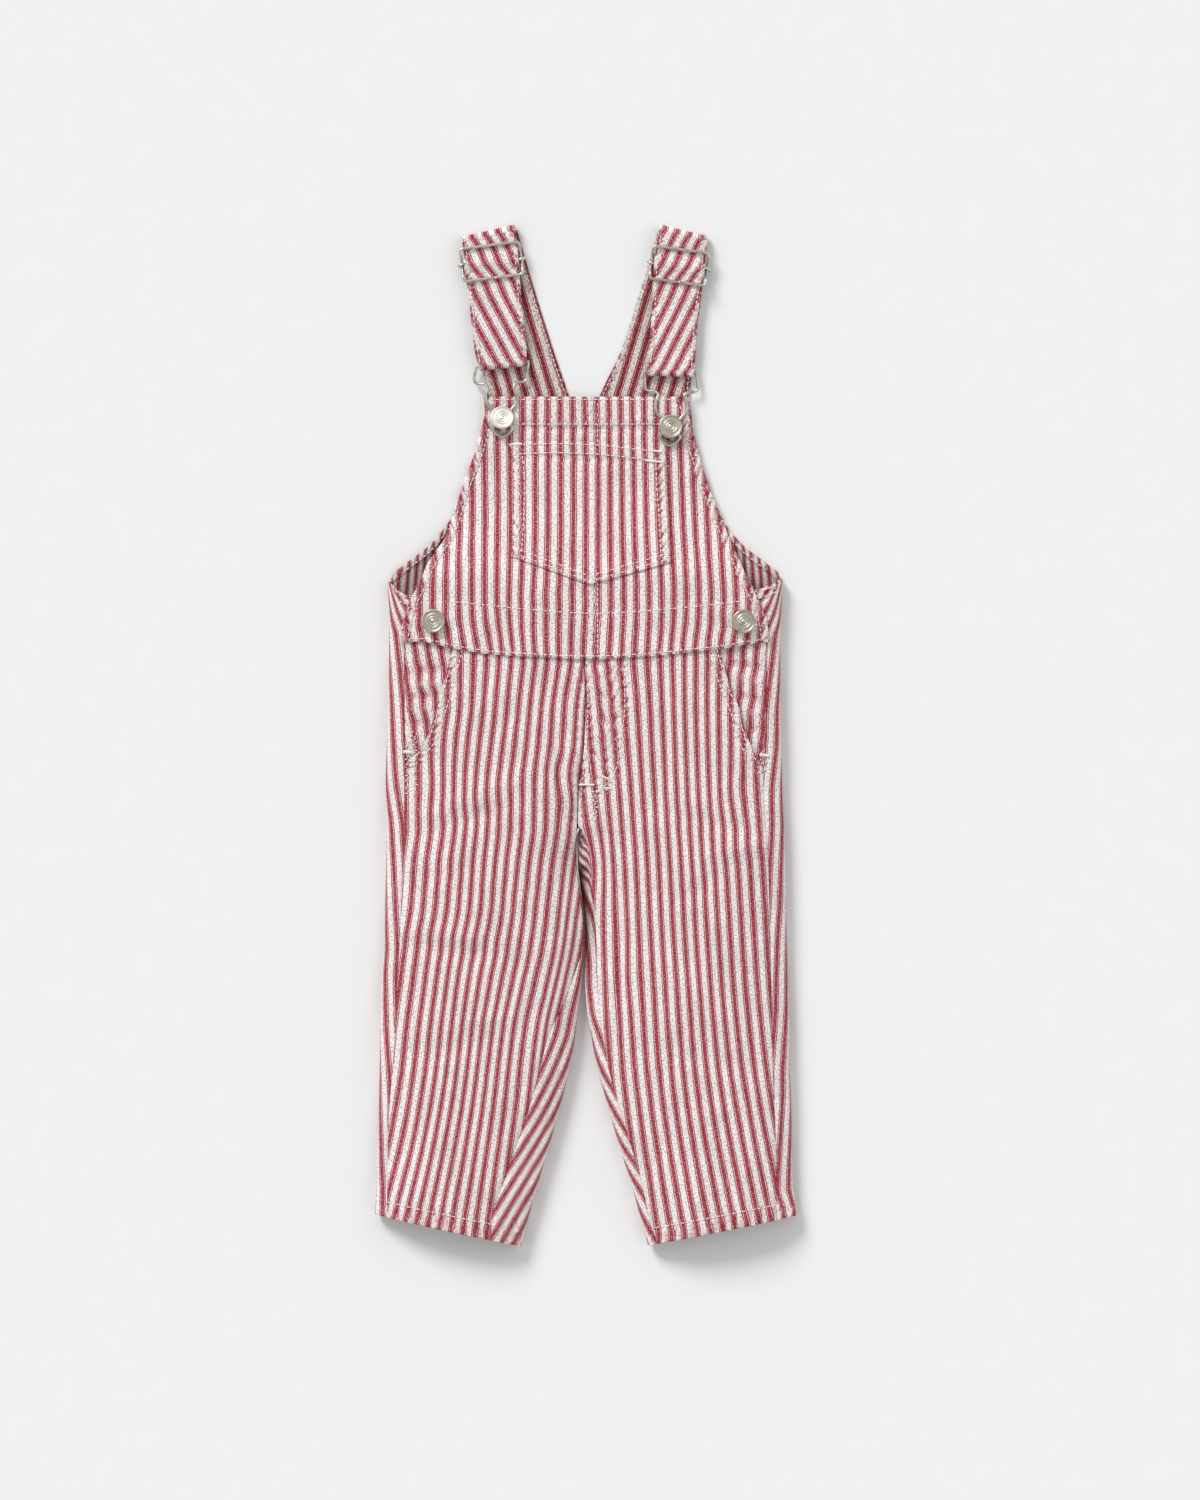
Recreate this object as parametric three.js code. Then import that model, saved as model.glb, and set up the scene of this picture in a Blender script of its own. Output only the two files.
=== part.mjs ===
// Kids' bib overalls in striped cotton, laid out flat on their back with the straps buckled.
// Millimetres. +X is to the right seen from above, +Y towards the shoulders and +Z up.
// The origin is under the middle of the garment, on the surface that it lies on.
import * as THREE from 'three';

// Cloth
const CLOTH = 1.2;              // one layer of cloth, as a wall
const LEG_HEM_CLOTH = 2.2;      // the turned hem of a leg
const BIB_HEM_CLOTH = 2.0;      // the turned top hem of the bib
const SEAM_GAP = 0.3;           // between two pieces that are sewn together
const LAYER_GAP = 0.4;          // between a pocket and the bib under it
const BIB_GAP = 0.7;            // between the bib's yoke and the trousers under it

// Levels along the garment
const CROTCH_Y = -81;           // the legs part below this
const WAIST_Y = 60;             // top edge of the trouser fronts, under the bib
const SIDE_TOP_Y = 89;          // top hem of the back's side, where it buttons
const BACK_TOP_Y = 178;         // the straps are sewn on here
const BIB_SIDE_Y = 58;          // lower corners of the bib's yoke
const BIB_TOP_Y = 211.2;
const LEG_HEM_HEIGHT = 9.5;
const BIB_HEM_HEIGHT = 16;
const SIDE_FOLD_RADIUS = 5.5;   // the cloth's round fold at the outer sides
const BIB_SEAM_X = 4.8;         // the seam that joins the bib's halves

// Hardware
const WIRE_RADIUS = 0.9;
const BUTTON_RADIUS = 7.4;
const BUTTON_HEAD = 2.8;
const SHANK_RADIUS = 3;
const BUTTON_SIDES = 16;
const WIRE_SIDES = 6;

// A table of named columns, read at any value of its first column
function table(columns, rows) {
  return (value) => {
    const last = rows.length - 1;
    const ascending = rows[last][0] > rows[0][0];
    let i = 0;
    while (i < last - 1 && (ascending ? value > rows[i + 1][0] : value < rows[i + 1][0])) i += 1;
    const span = rows[i + 1][0] - rows[i][0];
    const f = THREE.MathUtils.clamp((value - rows[i][0]) / span, 0, 1);
    const found = {};
    columns.forEach((name, c) => {
      found[name] = rows[i][c] + (rows[i + 1][c] - rows[i][c]) * f;
    });
    return found;
  };
}

const mix = THREE.MathUtils.lerp;
const clamp = THREE.MathUtils.clamp;
const smooth = THREE.MathUtils.smoothstep;

// Each side's lines at a level y: the outline outside and inside, and the two seams on top.
// Above the crotch the inner outline is the centre-back seam and the inner seam the centre-front one.
const LEFT_LINES = table(['y', 'outer', 'outerSeam', 'innerSeam', 'inner'], [
  [95, -124.2, -91.4, -1.4, -0.9],
  [72, -123.2, -91.4, -1.4, -0.9],
  [60.5, -123.0, -113.6, -1.4, -0.9],
  [20, -123.6, -113.3, -0.8, -0.9],
  [-6, -124.5, -113.0, -1.6, -0.9],
  [-31, -125.2, -113.3, -4.6, -0.9],
  [-56, -124.5, -113.6, -4.8, -0.9],
  [-78, -124.8, -114.2, -1.0, -0.9],
  [-84, -124.9, -114.4, -3.4, -0.9],
  [-106, -125.5, -115.2, -3.6, -0.9],
  [-131, -126.1, -116.4, -4.2, -1.0],
  [-150, -127.4, -117.4, -8.4, -2.6],
  [-172, -128.3, -118.5, -16.4, -5.2],
  [-187, -128.7, -119.3, -23.2, -6.8],
  [-206, -128.9, -120.5, -28.3, -10.2],
  [-231, -129.5, -122.7, -34.7, -16.0],
  [-256, -130.2, -123.6, -42.9, -23.0],
  [-281, -130.8, -124.0, -50.9, -30.3],
  [-299, -131.7, -124.2, -57.6, -35.4],
  [-319, -131.9, -124.4, -60.0, -40.8],
]);
const RIGHT_LINES = table(['y', 'outer', 'outerSeam', 'innerSeam', 'inner'], [
  [95, 122.8, 90.5, -1.1, -0.6],
  [72, 121.7, 90.5, -1.1, -0.6],
  [60.5, 121.1, 113.0, -1.1, -0.6],
  [20, 121.1, 112.3, -0.5, -0.6],
  [-6, 122.0, 111.4, -1.3, -0.6],
  [-31, 122.3, 110.5, -4.3, -0.6],
  [-56, 123.6, 111.7, -4.5, -0.6],
  [-78, 123.9, 113.6, -0.7, -0.6],
  [-84, 124.0, 113.7, 5.6, -0.6],
  [-106, 124.8, 114.2, 6.8, -0.6],
  [-131, 125.2, 114.8, 7.4, -0.6],
  [-150, 125.8, 115.3, 6.8, -1.0],
  [-172, 126.5, 115.7, 8.2, 0.4],
  [-187, 126.8, 115.9, 10.2, 2.9],
  [-206, 127.0, 116.4, 13.4, 6.5],
  [-231, 128.0, 117.3, 20.0, 13.3],
  [-256, 128.3, 118.3, 27.6, 20.4],
  [-281, 128.9, 118.6, 34.6, 28.4],
  [-299, 131.7, 118.4, 38.8, 33.2],
  [-319, 131.7, 118.2, 44.5, 38.6],
]);

// How high the top cloth lies: at its inner end (the centre-front seam or a leg's inner fold), how
// much it swells between its ends, and how far that swelling sinks back towards the inner end
const SWELL = table(['y', 'innerHeight', 'swell', 'sinks'], [
  [95, 12.0, 4.8, 0.2],
  [60, 12.5, 5.0, 0.2],
  [0, 12.5, 5.8, 0.35],
  [-31, 12.0, 6.6, 0.6],
  [-56, 9.5, 8.0, 1],
  [-78, 4.6, 9.0, 1],
  [-84, 3.4, 9.0, 1],
  [-110, 6.5, 9.0, 1],
  [-150, 9.5, 9.0, 1],
  [-190, 11.0, 8.5, 1],
  [-319, 11.0, 8.0, 1],
]);

// The largest soft folds of the fronts: middle, heading, half length, half width and height
const FOLDS = [
  { x: -92, y: -96, heading: 62, long: 34, wide: 6, high: 1.8 },
  { x: -58, y: -128, heading: 40, long: 30, wide: 6, high: -1.6 },
  { x: -30, y: -64, heading: 118, long: 26, wide: 6, high: 1.5 },
  { x: -88, y: -196, heading: 12, long: 30, wide: 7, high: -1.8 },
  { x: -70, y: -226, heading: -20, long: 32, wide: 6, high: 1.5 },
  { x: -96, y: -262, heading: 78, long: 30, wide: 7, high: 1.4 },
  { x: 36, y: -66, heading: 58, long: 26, wide: 6, high: 1.5 },
  { x: 88, y: -92, heading: 116, long: 34, wide: 6, high: 1.8 },
  { x: 62, y: -140, heading: 140, long: 30, wide: 6, high: -1.6 },
  { x: 84, y: -205, heading: -12, long: 32, wide: 7, high: -1.8 },
  { x: 72, y: -238, heading: 20, long: 30, wide: 6, high: 1.5 },
  { x: 96, y: -268, heading: 100, long: 28, wide: 7, high: 1.4 },
];

function foldHeight(x, y) {
  let height = 0;
  for (const fold of FOLDS) {
    const turn = THREE.MathUtils.degToRad(fold.heading);
    const along = (x - fold.x) * Math.cos(turn) + (y - fold.y) * Math.sin(turn);
    const across = (y - fold.y) * Math.cos(turn) - (x - fold.x) * Math.sin(turn);
    height += fold.high * Math.exp(-((along / fold.long) ** 2) - ((across / fold.wide) ** 2));
  }
  return height;
}

// One side of the garment cut across at a level. q runs from the outer edge towards the middle.
function crossSection(side, y) {
  const line = side.lines(y);
  const shape = SWELL(y);
  const isLeg = y < CROTCH_Y;
  const width = Math.abs(line.inner - line.outer);
  const innerRadius = isLeg ? shape.innerHeight / 2 : 0;
  const topEnd = isLeg ? width - innerRadius : Math.abs(line.innerSeam - line.outer);
  return {
    y,
    isLeg,
    width,
    innerRadius,
    topEnd,
    outer: line.outer,
    direction: side.direction,
    outerSeam: Math.abs(line.outerSeam - line.outer),
    innerSeam: Math.abs(line.innerSeam - line.outer),
    innerHeight: shape.innerHeight,
    swell: shape.swell,
    sinks: shape.sinks,
  };
}

const LEFT = { lines: LEFT_LINES, direction: 1, hemOuterY: -298.8, hemInnerY: -318.8 };
const RIGHT = { lines: RIGHT_LINES, direction: -1, hemOuterY: -299.4, hemInnerY: -318.2 };

function xOf(section, q) {
  return section.outer + section.direction * q;
}

// Height of the top cloth's upper face
function topHeight(section, q, y) {
  const radius = SIDE_FOLD_RADIUS;
  const past = q - section.topEnd;
  if (q < radius) return radius + Math.sqrt(Math.max(0, radius ** 2 - (radius - q) ** 2));
  if (section.isLeg && past > 0) {
    const inner = section.innerRadius;
    return inner + Math.sqrt(Math.max(0, inner ** 2 - past ** 2));
  }
  const t = clamp((q - radius) / (section.topEnd - radius), 0, 1);
  const level = mix(2 * radius, section.innerHeight, t ** 3);
  const arch = (1 - Math.abs(2 * t - 1) ** 2.5) ** 0.8;
  const bulge = t < 0.5 ? arch : mix(1, arch, section.sinks);
  const folds = foldHeight(xOf(section, q), y) * smooth(t, 0, 0.15) * (1 - smooth(t, 0.85, 1));
  return level + section.swell * bulge + folds;
}

// Levels of the rows from the hem up. Near the hem the rows tilt to the hem's slope.
const HEM_Y = -309;
const LEVELS = [
  HEM_Y, HEM_Y + LEG_HEM_HEIGHT, HEM_Y + LEG_HEM_HEIGHT + 1.5, -276, -252, -228, -206, -184, -165,
  -150, -134, -116, -98, -84, -78, -64, -48, -31, -14, 4, 22, 41,
];
const FRONT_LEVELS = [...LEVELS, WAIST_Y];
const BACK_LEVELS = [...LEVELS, WAIST_Y + 0.5];

const INSEAM_SETBACK = 0.7;     // the inseams lie at least this far onto the top of the legs

function rowTilt(side, level) {
  return (1 - smooth(level, HEM_Y, -150)) * (side.hemOuterY - side.hemInnerY) / 2;
}

function rowY(side, section, level, q) {
  return level + rowTilt(side, level) * (1 - 2 * q / section.width);
}

function rowSection(side, level) {
  const tilt = rowTilt(side, level);
  const outside = crossSection(side, level + tilt);
  const inside = crossSection(side, level - tilt);
  const middle = crossSection(side, level);
  const innerX = xOf(inside, inside.width);
  const seamX = xOf(inside, inside.innerSeam);
  const width = Math.abs(innerX - outside.outer);
  const topEnd = middle.isLeg ? width - middle.innerRadius : middle.topEnd;
  const innerSeam = Math.abs(seamX - outside.outer);
  return {
    ...middle,
    width,
    outer: outside.outer,
    outerSeam: outside.outerSeam,
    innerSeam: middle.isLeg ? Math.min(innerSeam, topEnd - INSEAM_SETBACK) : innerSeam,
    topEnd,
  };
}

function legWall(level) {
  return level < HEM_Y + LEG_HEM_HEIGHT + 1 ? LEG_HEM_CLOTH : CLOTH;
}

// The inner face of a row of points: each is moved square to the row by the wall. Where the row
// ends at a seam on top, the end follows the top cloth's own slope, so both pieces end alike.
function moveInward(path, wall, slopeAt) {
  return path.map((point, i) => {
    const before = path[Math.max(0, i - 1)];
    const after = path[Math.min(path.length - 1, i + 1)];
    const heading = Math.sign(after.q - before.q) || 1;
    const isEnd = i === 0 || i === path.length - 1;
    const run = isEnd ? heading : after.q - before.q;
    const rise = isEnd ? heading * slopeAt(point) : after.z - before.z;
    const length = Math.hypot(run, rise);
    return { q: point.q - (rise / length) * wall, z: point.z + (run / length) * wall };
  });
}

const SLOPE_REACH = 0.6;

function topSlope(section, point, y) {
  if (point.z < CLOTH) return 0;
  const after = topHeight(section, point.q + SLOPE_REACH, y);
  return (after - topHeight(section, point.q - SLOPE_REACH, y)) / (2 * SLOPE_REACH);
}

function evenly(from, to, count, visit) {
  for (let i = 0; i <= count; i += 1) visit(mix(from, to, i / count), i);
}

const FLOOR_SHARES = [0, 0.05, 0.12, 0.22, 0.32, 0.42, 0.56, 0.7, 0.85, 1];
const FOLD_STEPS = 4;
const STUB_STEPS = 3;
const INNER_STUB_STEPS = 2;
const CENTRE_STRIP = 4;

// The back's path across a level: from the outer seam over the side fold, along the floor, and in
// a leg up the inner fold to the inseam
function backPath(section) {
  const path = [];
  const radius = SIDE_FOLD_RADIUS;
  evenly(section.outerSeam, radius, STUB_STEPS, (q, i) => {
    if (i < STUB_STEPS) path.push({ q, z: topHeight(section, q, section.y) });
  });
  evenly(90, -90, FOLD_STEPS, (degrees) => {
    const angle = THREE.MathUtils.degToRad(degrees);
    path.push({ q: radius - radius * Math.cos(angle), z: radius + radius * Math.sin(angle) });
  });
  const floorEnd = section.isLeg ? section.width - section.innerRadius : section.width - CENTRE_STRIP;
  FLOOR_SHARES.slice(1).forEach((share) => path.push({ q: mix(radius, floorEnd, share), z: 0 }));
  if (section.isLeg) {
    evenly(-90, 90, FOLD_STEPS, (degrees, i) => {
      const angle = THREE.MathUtils.degToRad(degrees);
      const inner = section.innerRadius;
      if (i > 0) path.push({ q: floorEnd + inner * Math.cos(angle), z: inner + inner * Math.sin(angle) });
    });
    evenly(floorEnd, section.innerSeam + SEAM_GAP / 2, INNER_STUB_STEPS, (q, i) => {
      if (i > 0) path.push({ q, z: topHeight(section, q, section.y) });
    });
  } else {
    const steps = FOLD_STEPS + INNER_STUB_STEPS;
    evenly(floorEnd, section.width, steps, (q, i) => {
      if (i > 0) path.push({ q, z: 0 });
    });
  }
  return path;
}

// A closed wall between two grids of points of the same size
function wallSolid(outer, inner) {
  const rows = outer.length;
  const columns = outer[0].length;
  const positions = [];
  [outer, inner].forEach((grid) => grid.forEach((row) => row.forEach((p) => positions.push(...p))));
  const at = (layer, r, c) => layer * rows * columns + r * columns + c;
  const faces = [];
  const quad = (a, b, c, d) => faces.push(a, b, c, a, c, d);
  for (let r = 0; r < rows - 1; r += 1) {
    for (let c = 0; c < columns - 1; c += 1) {
      quad(at(0, r, c), at(0, r, c + 1), at(0, r + 1, c + 1), at(0, r + 1, c));
      quad(at(1, r, c), at(1, r + 1, c), at(1, r + 1, c + 1), at(1, r, c + 1));
    }
    quad(at(0, r, 0), at(0, r + 1, 0), at(1, r + 1, 0), at(1, r, 0));
    const end = columns - 1;
    quad(at(0, r, end), at(1, r, end), at(1, r + 1, end), at(0, r + 1, end));
  }
  for (let c = 0; c < columns - 1; c += 1) {
    const top = rows - 1;
    quad(at(0, 0, c), at(1, 0, c), at(1, 0, c + 1), at(0, 0, c + 1));
    quad(at(0, top, c), at(0, top, c + 1), at(1, top, c + 1), at(1, top, c));
  }
  const geometry = new THREE.BufferGeometry();
  geometry.setAttribute('position', new THREE.Float32BufferAttribute(positions, 3));
  geometry.setIndex(faces);
  return facesOut(geometry);
}

function signedVolume(geometry) {
  const place = geometry.getAttribute('position');
  const index = geometry.getIndex();
  const count = index ? index.count : place.count;
  const corner = [new THREE.Vector3(), new THREE.Vector3(), new THREE.Vector3()];
  let volume = 0;
  for (let i = 0; i < count; i += 3) {
    corner.forEach((p, k) => p.fromBufferAttribute(place, index ? index.getX(i + k) : i + k));
    volume += corner[0].dot(corner[1].clone().cross(corner[2])) / 6;
  }
  return volume;
}

function facesOut(geometry) {
  if (signedVolume(geometry) < 0) {
    const index = geometry.getIndex();
    for (let i = 0; i < index.count; i += 3) {
      const second = index.getX(i + 1);
      index.setX(i + 1, index.getX(i + 2));
      index.setX(i + 2, second);
    }
  }
  geometry.computeVertexNormals();
  return geometry;
}

// The back's top edge: its side hem, round the fold, and the armhole's curve on the floor
const BACK_ARMHOLE = table(['x', 'y'], [
  [-124, 95],
  [-118.5, 102],
  [-111.4, 108.1],
  [-97.7, 118.8],
  [-85.2, 134.4],
  [-76, 153],
  [-69, BACK_TOP_Y],
  [0, BACK_TOP_Y],
]);

function backTopY(section, point) {
  const onTop = smooth(point.z, 0, 2 * SIDE_FOLD_RADIUS);
  const onFloor = BACK_ARMHOLE(-Math.abs(xOf(section, point.q))).y;
  return mix(onFloor, SIDE_TOP_Y, onTop);
}

const UPPER_SHARES = [0.22, 0.4, 0.6, 0.8, 1];

function backPanel(side) {
  const outer = [];
  const inner = [];
  const place = (section, path, yOf) => path.map((p) => [xOf(section, p.q), yOf(p), p.z]);
  BACK_LEVELS.forEach((level) => {
    const section = rowSection(side, level);
    const path = backPath(section);
    const yOf = (p) => rowY(side, section, level, p.q);
    outer.push(place(section, path, yOf));
    const slope = (p) => topSlope(section, p, yOf(p));
    inner.push(place(section, moveInward(path, legWall(level), slope), yOf));
  });
  const start = BACK_LEVELS[BACK_LEVELS.length - 1];
  UPPER_SHARES.forEach((share) => {
    const section = rowSection(side, mix(start, SIDE_TOP_Y, share));
    const path = backPath(section);
    const heights = path.map((p) => mix(start, backTopY(section, p), share));
    const inside = moveInward(path, CLOTH, (p) => topSlope(section, p, section.y));
    outer.push(path.map((p, i) => [xOf(section, p.q), heights[i], p.z]));
    inner.push(inside.map((p, i) => [xOf(section, p.q), heights[i], p.z]));
  });
  return wallSolid(outer, inner);
}

// The slant pocket edges of the fronts
const LEFT_SLANT = table(['y', 'x'], [
  [WAIST_Y, -81.4],
  [37, -87.5],
  [8, -95.8],
  [-5, -100.8],
  [-12.5, -107.0],
  [-18, -113.2],
]);
const RIGHT_SLANT = table(['y', 'x'], [
  [WAIST_Y, 81.0],
  [31, 89.4],
  [16, 95.6],
  [0, 99.9],
  [-11, 104.8],
  [-22, 110.7],
]);
LEFT.slant = LEFT_SLANT;
LEFT.slantEnd = -18;
RIGHT.slant = RIGHT_SLANT;
RIGHT.slantEnd = -22;

function frontStart(side, section, level) {
  const seam = section.outerSeam + SEAM_GAP;
  if (level < side.slantEnd) return seam;
  return Math.max(seam, Math.abs(side.slant(level).x - section.outer));
}

const FRONT_COLUMNS = 11;

function frontPanel(side) {
  const outer = [];
  const inner = [];
  FRONT_LEVELS.forEach((level) => {
    const section = rowSection(side, level);
    const path = [];
    evenly(frontStart(side, section, level), section.innerSeam - SEAM_GAP / 2, FRONT_COLUMNS, (q) => {
      path.push({ q, z: topHeight(section, q, rowY(side, section, level, q)) });
    });
    const yOf = (p) => rowY(side, section, level, p.q);
    const slope = (p) => topSlope(section, p, yOf(p));
    const inside = moveInward(path, -legWall(level), slope);
    outer.push(path.map((p) => [xOf(section, p.q), yOf(p), p.z]));
    inner.push(inside.map((p, i) => [xOf(section, p.q), yOf(path[i]), p.z]));
  });
  return wallSolid(outer, inner);
}

const FACING_LEVELS = [-12, 4, 22, 41, WAIST_Y];
const FACING_SEAM_GAP = 0.55;
const FACING_UNDERLAP = 6;

// The facing starts level with the side seam and drops below the front's slant edge
function pocketFacing(side) {
  const outer = [];
  const inner = [];
  FACING_LEVELS.forEach((level) => {
    const section = rowSection(side, level);
    const seam = section.outerSeam + FACING_SEAM_GAP;
    const slant = frontStart(side, section, level);
    const stops = [seam, mix(seam, slant, 0.5), slant - 1, slant + FACING_UNDERLAP / 2, slant + FACING_UNDERLAP];
    const drops = [0.4, 1.2, 1.8, 1.8, 1.8];
    outer.push(stops.map((q, i) => [xOf(section, q), level, topHeight(section, q, level) - drops[i]]));
    inner.push(stops.map((q, i) => [xOf(section, q), level, topHeight(section, q, level) - drops[i] - CLOTH]));
  });
  return wallSolid(outer, inner);
}

// The bib's outline: its sides by level, and its lower edge across
const BIB_SIDES = table(['y', 'left', 'right'], [
  [BIB_SIDE_Y, -116.4, 114.4],
  [71, -114.1, 112.6],
  [82, -110.3, 108.6],
  [94, -104.5, 102.6],
  [107, -98.9, 96.8],
  [126, -87.2, 88.6],
  [141, -82.0, 82.5],
  [157, -77.0, 76.2],
  [175, -70.0, 70.5],
  [191, -65.6, 66.1],
  [202, -63.3, 64.4],
  [BIB_TOP_Y, -63.9, 61.7],
]);
const BIB_LOWER_EDGE = table(['x', 'y'], [
  [-116.4, 57.5],
  [-104, 58.0],
  [-83, 53.8],
  [-62, 50.4],
  [-40, 48.8],
  [3, 47.0],
  [40, 48.8],
  [65, 51.4],
  [84, 53.4],
  [97, 55.8],
  [114.4, 58.0],
]);
// Height of the bib's upper face along its middle and at its sides
const BIB_HEIGHT = table(['y', 'middle', 'edge'], [
  [BIB_TOP_Y, 5.0, 4.4],
  [185, 5.2, 4.0],
  [160, 6.5, 3.6],
  [140, 9.0, 4.0],
  [125, 12.0, 6.0],
  [110, 15.0, 10.5],
  [95, 17.4, 14.5],
  [80, 18.5, 15.5],
]);

function bibTop(x, y) {
  const level = Math.min(y, SIDE_TOP_Y);
  const side = x < LEFT_LINES(level).innerSeam + SEAM_GAP / 2 ? LEFT : RIGHT;
  const section = crossSection(side, level);
  const onTrousers = topHeight(section, Math.abs(x - section.outer), y) + BIB_GAP + CLOTH;
  const sides = BIB_SIDES(y);
  const across = clamp((2 * x - sides.left - sides.right) / (sides.right - sides.left), -1, 1);
  const height = BIB_HEIGHT(y);
  const free = mix(height.edge, height.middle, 1 - Math.abs(across) ** 2.6);
  return mix(onTrousers, free, smooth(y, 90, 112));
}

const BIB_SHARES = [0, 0.07, 0.14, 0.21, 0.28, 0.36, 0.45, 0.55, 0.66, 0.78, 0.888, 0.898, 1];
const BIB_COLUMNS = 10;

function bibHalf(side) {
  const outer = [];
  const inner = [];
  BIB_SHARES.forEach((share) => {
    const level = mix(BIB_SIDE_Y, BIB_TOP_Y, share);
    const sides = BIB_SIDES(level);
    const edge = side === LEFT ? sides.left : sides.right;
    const seam = BIB_SEAM_X - side.direction * SEAM_GAP / 2;
    const wall = level > BIB_TOP_Y - BIB_HEM_HEIGHT ? BIB_HEM_CLOTH : CLOTH;
    const row = [];
    evenly(edge, seam, BIB_COLUMNS, (x) => {
      const y = level + (BIB_LOWER_EDGE(x).y - BIB_SIDE_Y) * (1 - share) ** 2;
      row.push([x, y, bibTop(x, y)]);
    });
    outer.push(row);
    inner.push(row.map(([x, y, z]) => [x, y, z - wall]));
  });
  return wallSolid(outer, inner);
}

// The bib pocket's outline
const POCKET_SIDES = table(['share', 'left', 'right'], [
  [0, -46.7, 52.9],
  [0.3, -45.6, 52.2],
  [0.6, -45.0, 50.8],
  [0.85, -46.0, 50.0],
  [1, -49.2, 49.8],
]);
const POCKET_EDGES = table(['x', 'lower', 'upper'], [
  [-49.2, 111.4, 181.9],
  [-46.7, 111.2, 182.6],
  [-20, 101.5, 183.6],
  [2.2, 93.4, 183.0],
  [28, 100.6, 180.6],
  [52.9, 107.5, 177.4],
]);
const POCKET_SHARES = [0, 0.12, 0.25, 0.38, 0.52, 0.66, 0.82, 1];
const POCKET_COLUMNS = 12;

function bibPocket() {
  const outer = [];
  const inner = [];
  POCKET_SHARES.forEach((share) => {
    const sides = POCKET_SIDES(share);
    const row = [];
    evenly(sides.left, sides.right, POCKET_COLUMNS, (x) => {
      const edges = POCKET_EDGES(x);
      const y = mix(edges.lower, edges.upper, share);
      row.push([x, y, bibTop(x, y) + LAYER_GAP + CLOTH]);
    });
    outer.push(row);
    inner.push(row.map(([x, y, z]) => [x, y, z - CLOTH]));
  });
  return wallSolid(outer, inner);
}

// Heights of the strap's layers: the middle of each wall
const BACK_LAYER_Z = CLOTH / 2;
const RETURN_LAYER_Z = 2.1;
const FRONT_LAYER_Z = 5.7;
const BAR_Z = 3.9;              // the hook's bar and the slider's bar
const OVER_BAR_RISE = 1.5;      // the front layer rises over the slider's bar
const SLIDER_Z = 7.5;
const SLIDER_HALF_LENGTH = 10.2;

// Each strap's edges, from the seam on the back up to the shoulder fold, and from there down to
// the hook. The slider's bar is at a share of the front part.
const LEFT_STRAP = {
  slider: 0.225,
  back: table(['share', 'outerX', 'outerY', 'innerX', 'innerY'], [
    [0, -68.9, 178.3, -0.9, 178.3],
    [0.25, -62.3, 210.6, -10.5, 210.6],
    [0.45, -66.8, 240, -20.5, 240],
    [0.68, -72.0, 274, -31.2, 274],
    [1, -77.7, 311.2, -44.2, 318.8],
  ]),
  front: table(['share', 'outerX', 'outerY', 'innerX', 'innerY'], [
    [0, -77.7, 311.2, -44.2, 318.8],
    [0.3, -75.2, 287.0, -41.8, 290.5],
    [0.6, -72.2, 262.0, -39.8, 264.5],
    [0.88, -69.4, 238.0, -37.2, 241.0],
    [1, -66.6, 227.4, -37.4, 230.4],
  ]),
};
const RIGHT_STRAP = {
  slider: 0.27,
  back: table(['share', 'outerX', 'outerY', 'innerX', 'innerY'], [
    [0, 69.2, 178.3, -0.6, 178.3],
    [0.25, 64.8, 210.6, 8.6, 212],
    [0.45, 68.0, 240, 21.0, 238],
    [0.68, 71.8, 274, 32.8, 274],
    [1, 76.0, 311.6, 45.9, 318.8],
  ]),
  front: table(['share', 'outerX', 'outerY', 'innerX', 'innerY'], [
    [0, 76.0, 311.6, 45.9, 318.8],
    [0.3, 73.6, 288.0, 42.2, 292.0],
    [0.6, 69.6, 260.0, 40.8, 262.0],
    [0.88, 68.0, 235.0, 38.8, 236.5],
    [1, 67.2, 223.6, 37.9, 224.3],
  ]),
};

const STATION_REACH = 0.04;     // share of a strap over which its heading is measured

// A strap station: its two edges' places, and the directions across it and along it there
function strapStation(rows, share) {
  const row = rows(share);
  const after = Math.min(1, share + STATION_REACH / 2);
  const next = rows(after);
  const last = rows(after - STATION_REACH);
  const outer = new THREE.Vector2(row.outerX, row.outerY);
  const inner = new THREE.Vector2(row.innerX, row.innerY);
  const across = inner.clone().sub(outer).normalize();
  const along = new THREE.Vector2(next.outerX + next.innerX - last.outerX - last.innerX,
    next.outerY + next.innerY - last.outerY - last.innerY).normalize();
  const square = new THREE.Vector2(-across.y, across.x);
  if (square.dot(along) < 0) square.negate();
  return { outer, inner, across, square };
}

const STRAP_COLUMNS = 3;
const BEND_STEPS = 6;

// Half a turn round a centre at a station, as points of the strap's middle
function strapBend(station, centreShift, centreZ, radius, fromAngle, toAngle) {
  const points = [];
  evenly(fromAngle, toAngle, BEND_STEPS, (degrees) => {
    const angle = THREE.MathUtils.degToRad(degrees);
    points.push({
      station,
      shift: centreShift + radius * Math.cos(angle),
      z: centreZ + radius * Math.sin(angle),
      out: { shift: Math.cos(angle), z: Math.sin(angle) },
    });
  });
  return points;
}

function overBar(share, barShare, length) {
  const away = (share - barShare) * length / (SLIDER_HALF_LENGTH * 0.7);
  return OVER_BAR_RISE * Math.max(0, 1 - away ** 2) ** 2;
}

const STRAP_LENGTH = 86;
const BACK_STRAP_SHARES = [0, 0.12, 0.25, 0.35, 0.45, 0.56, 0.68, 0.8, 0.9];
const FRONT_STRAP_SHARES = [0.06, 0.09, 0.12, 0.15, 0.18, 0.2, 0.225, 0.25, 0.27, 0.3, 0.33, 0.38, 0.48, 0.6,
  0.74, 0.88, 0.93];
const RETURN_STRAP_SHARES = [0.93, 0.82, 0.7, 0.56, 0.42, 0.33];

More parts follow.
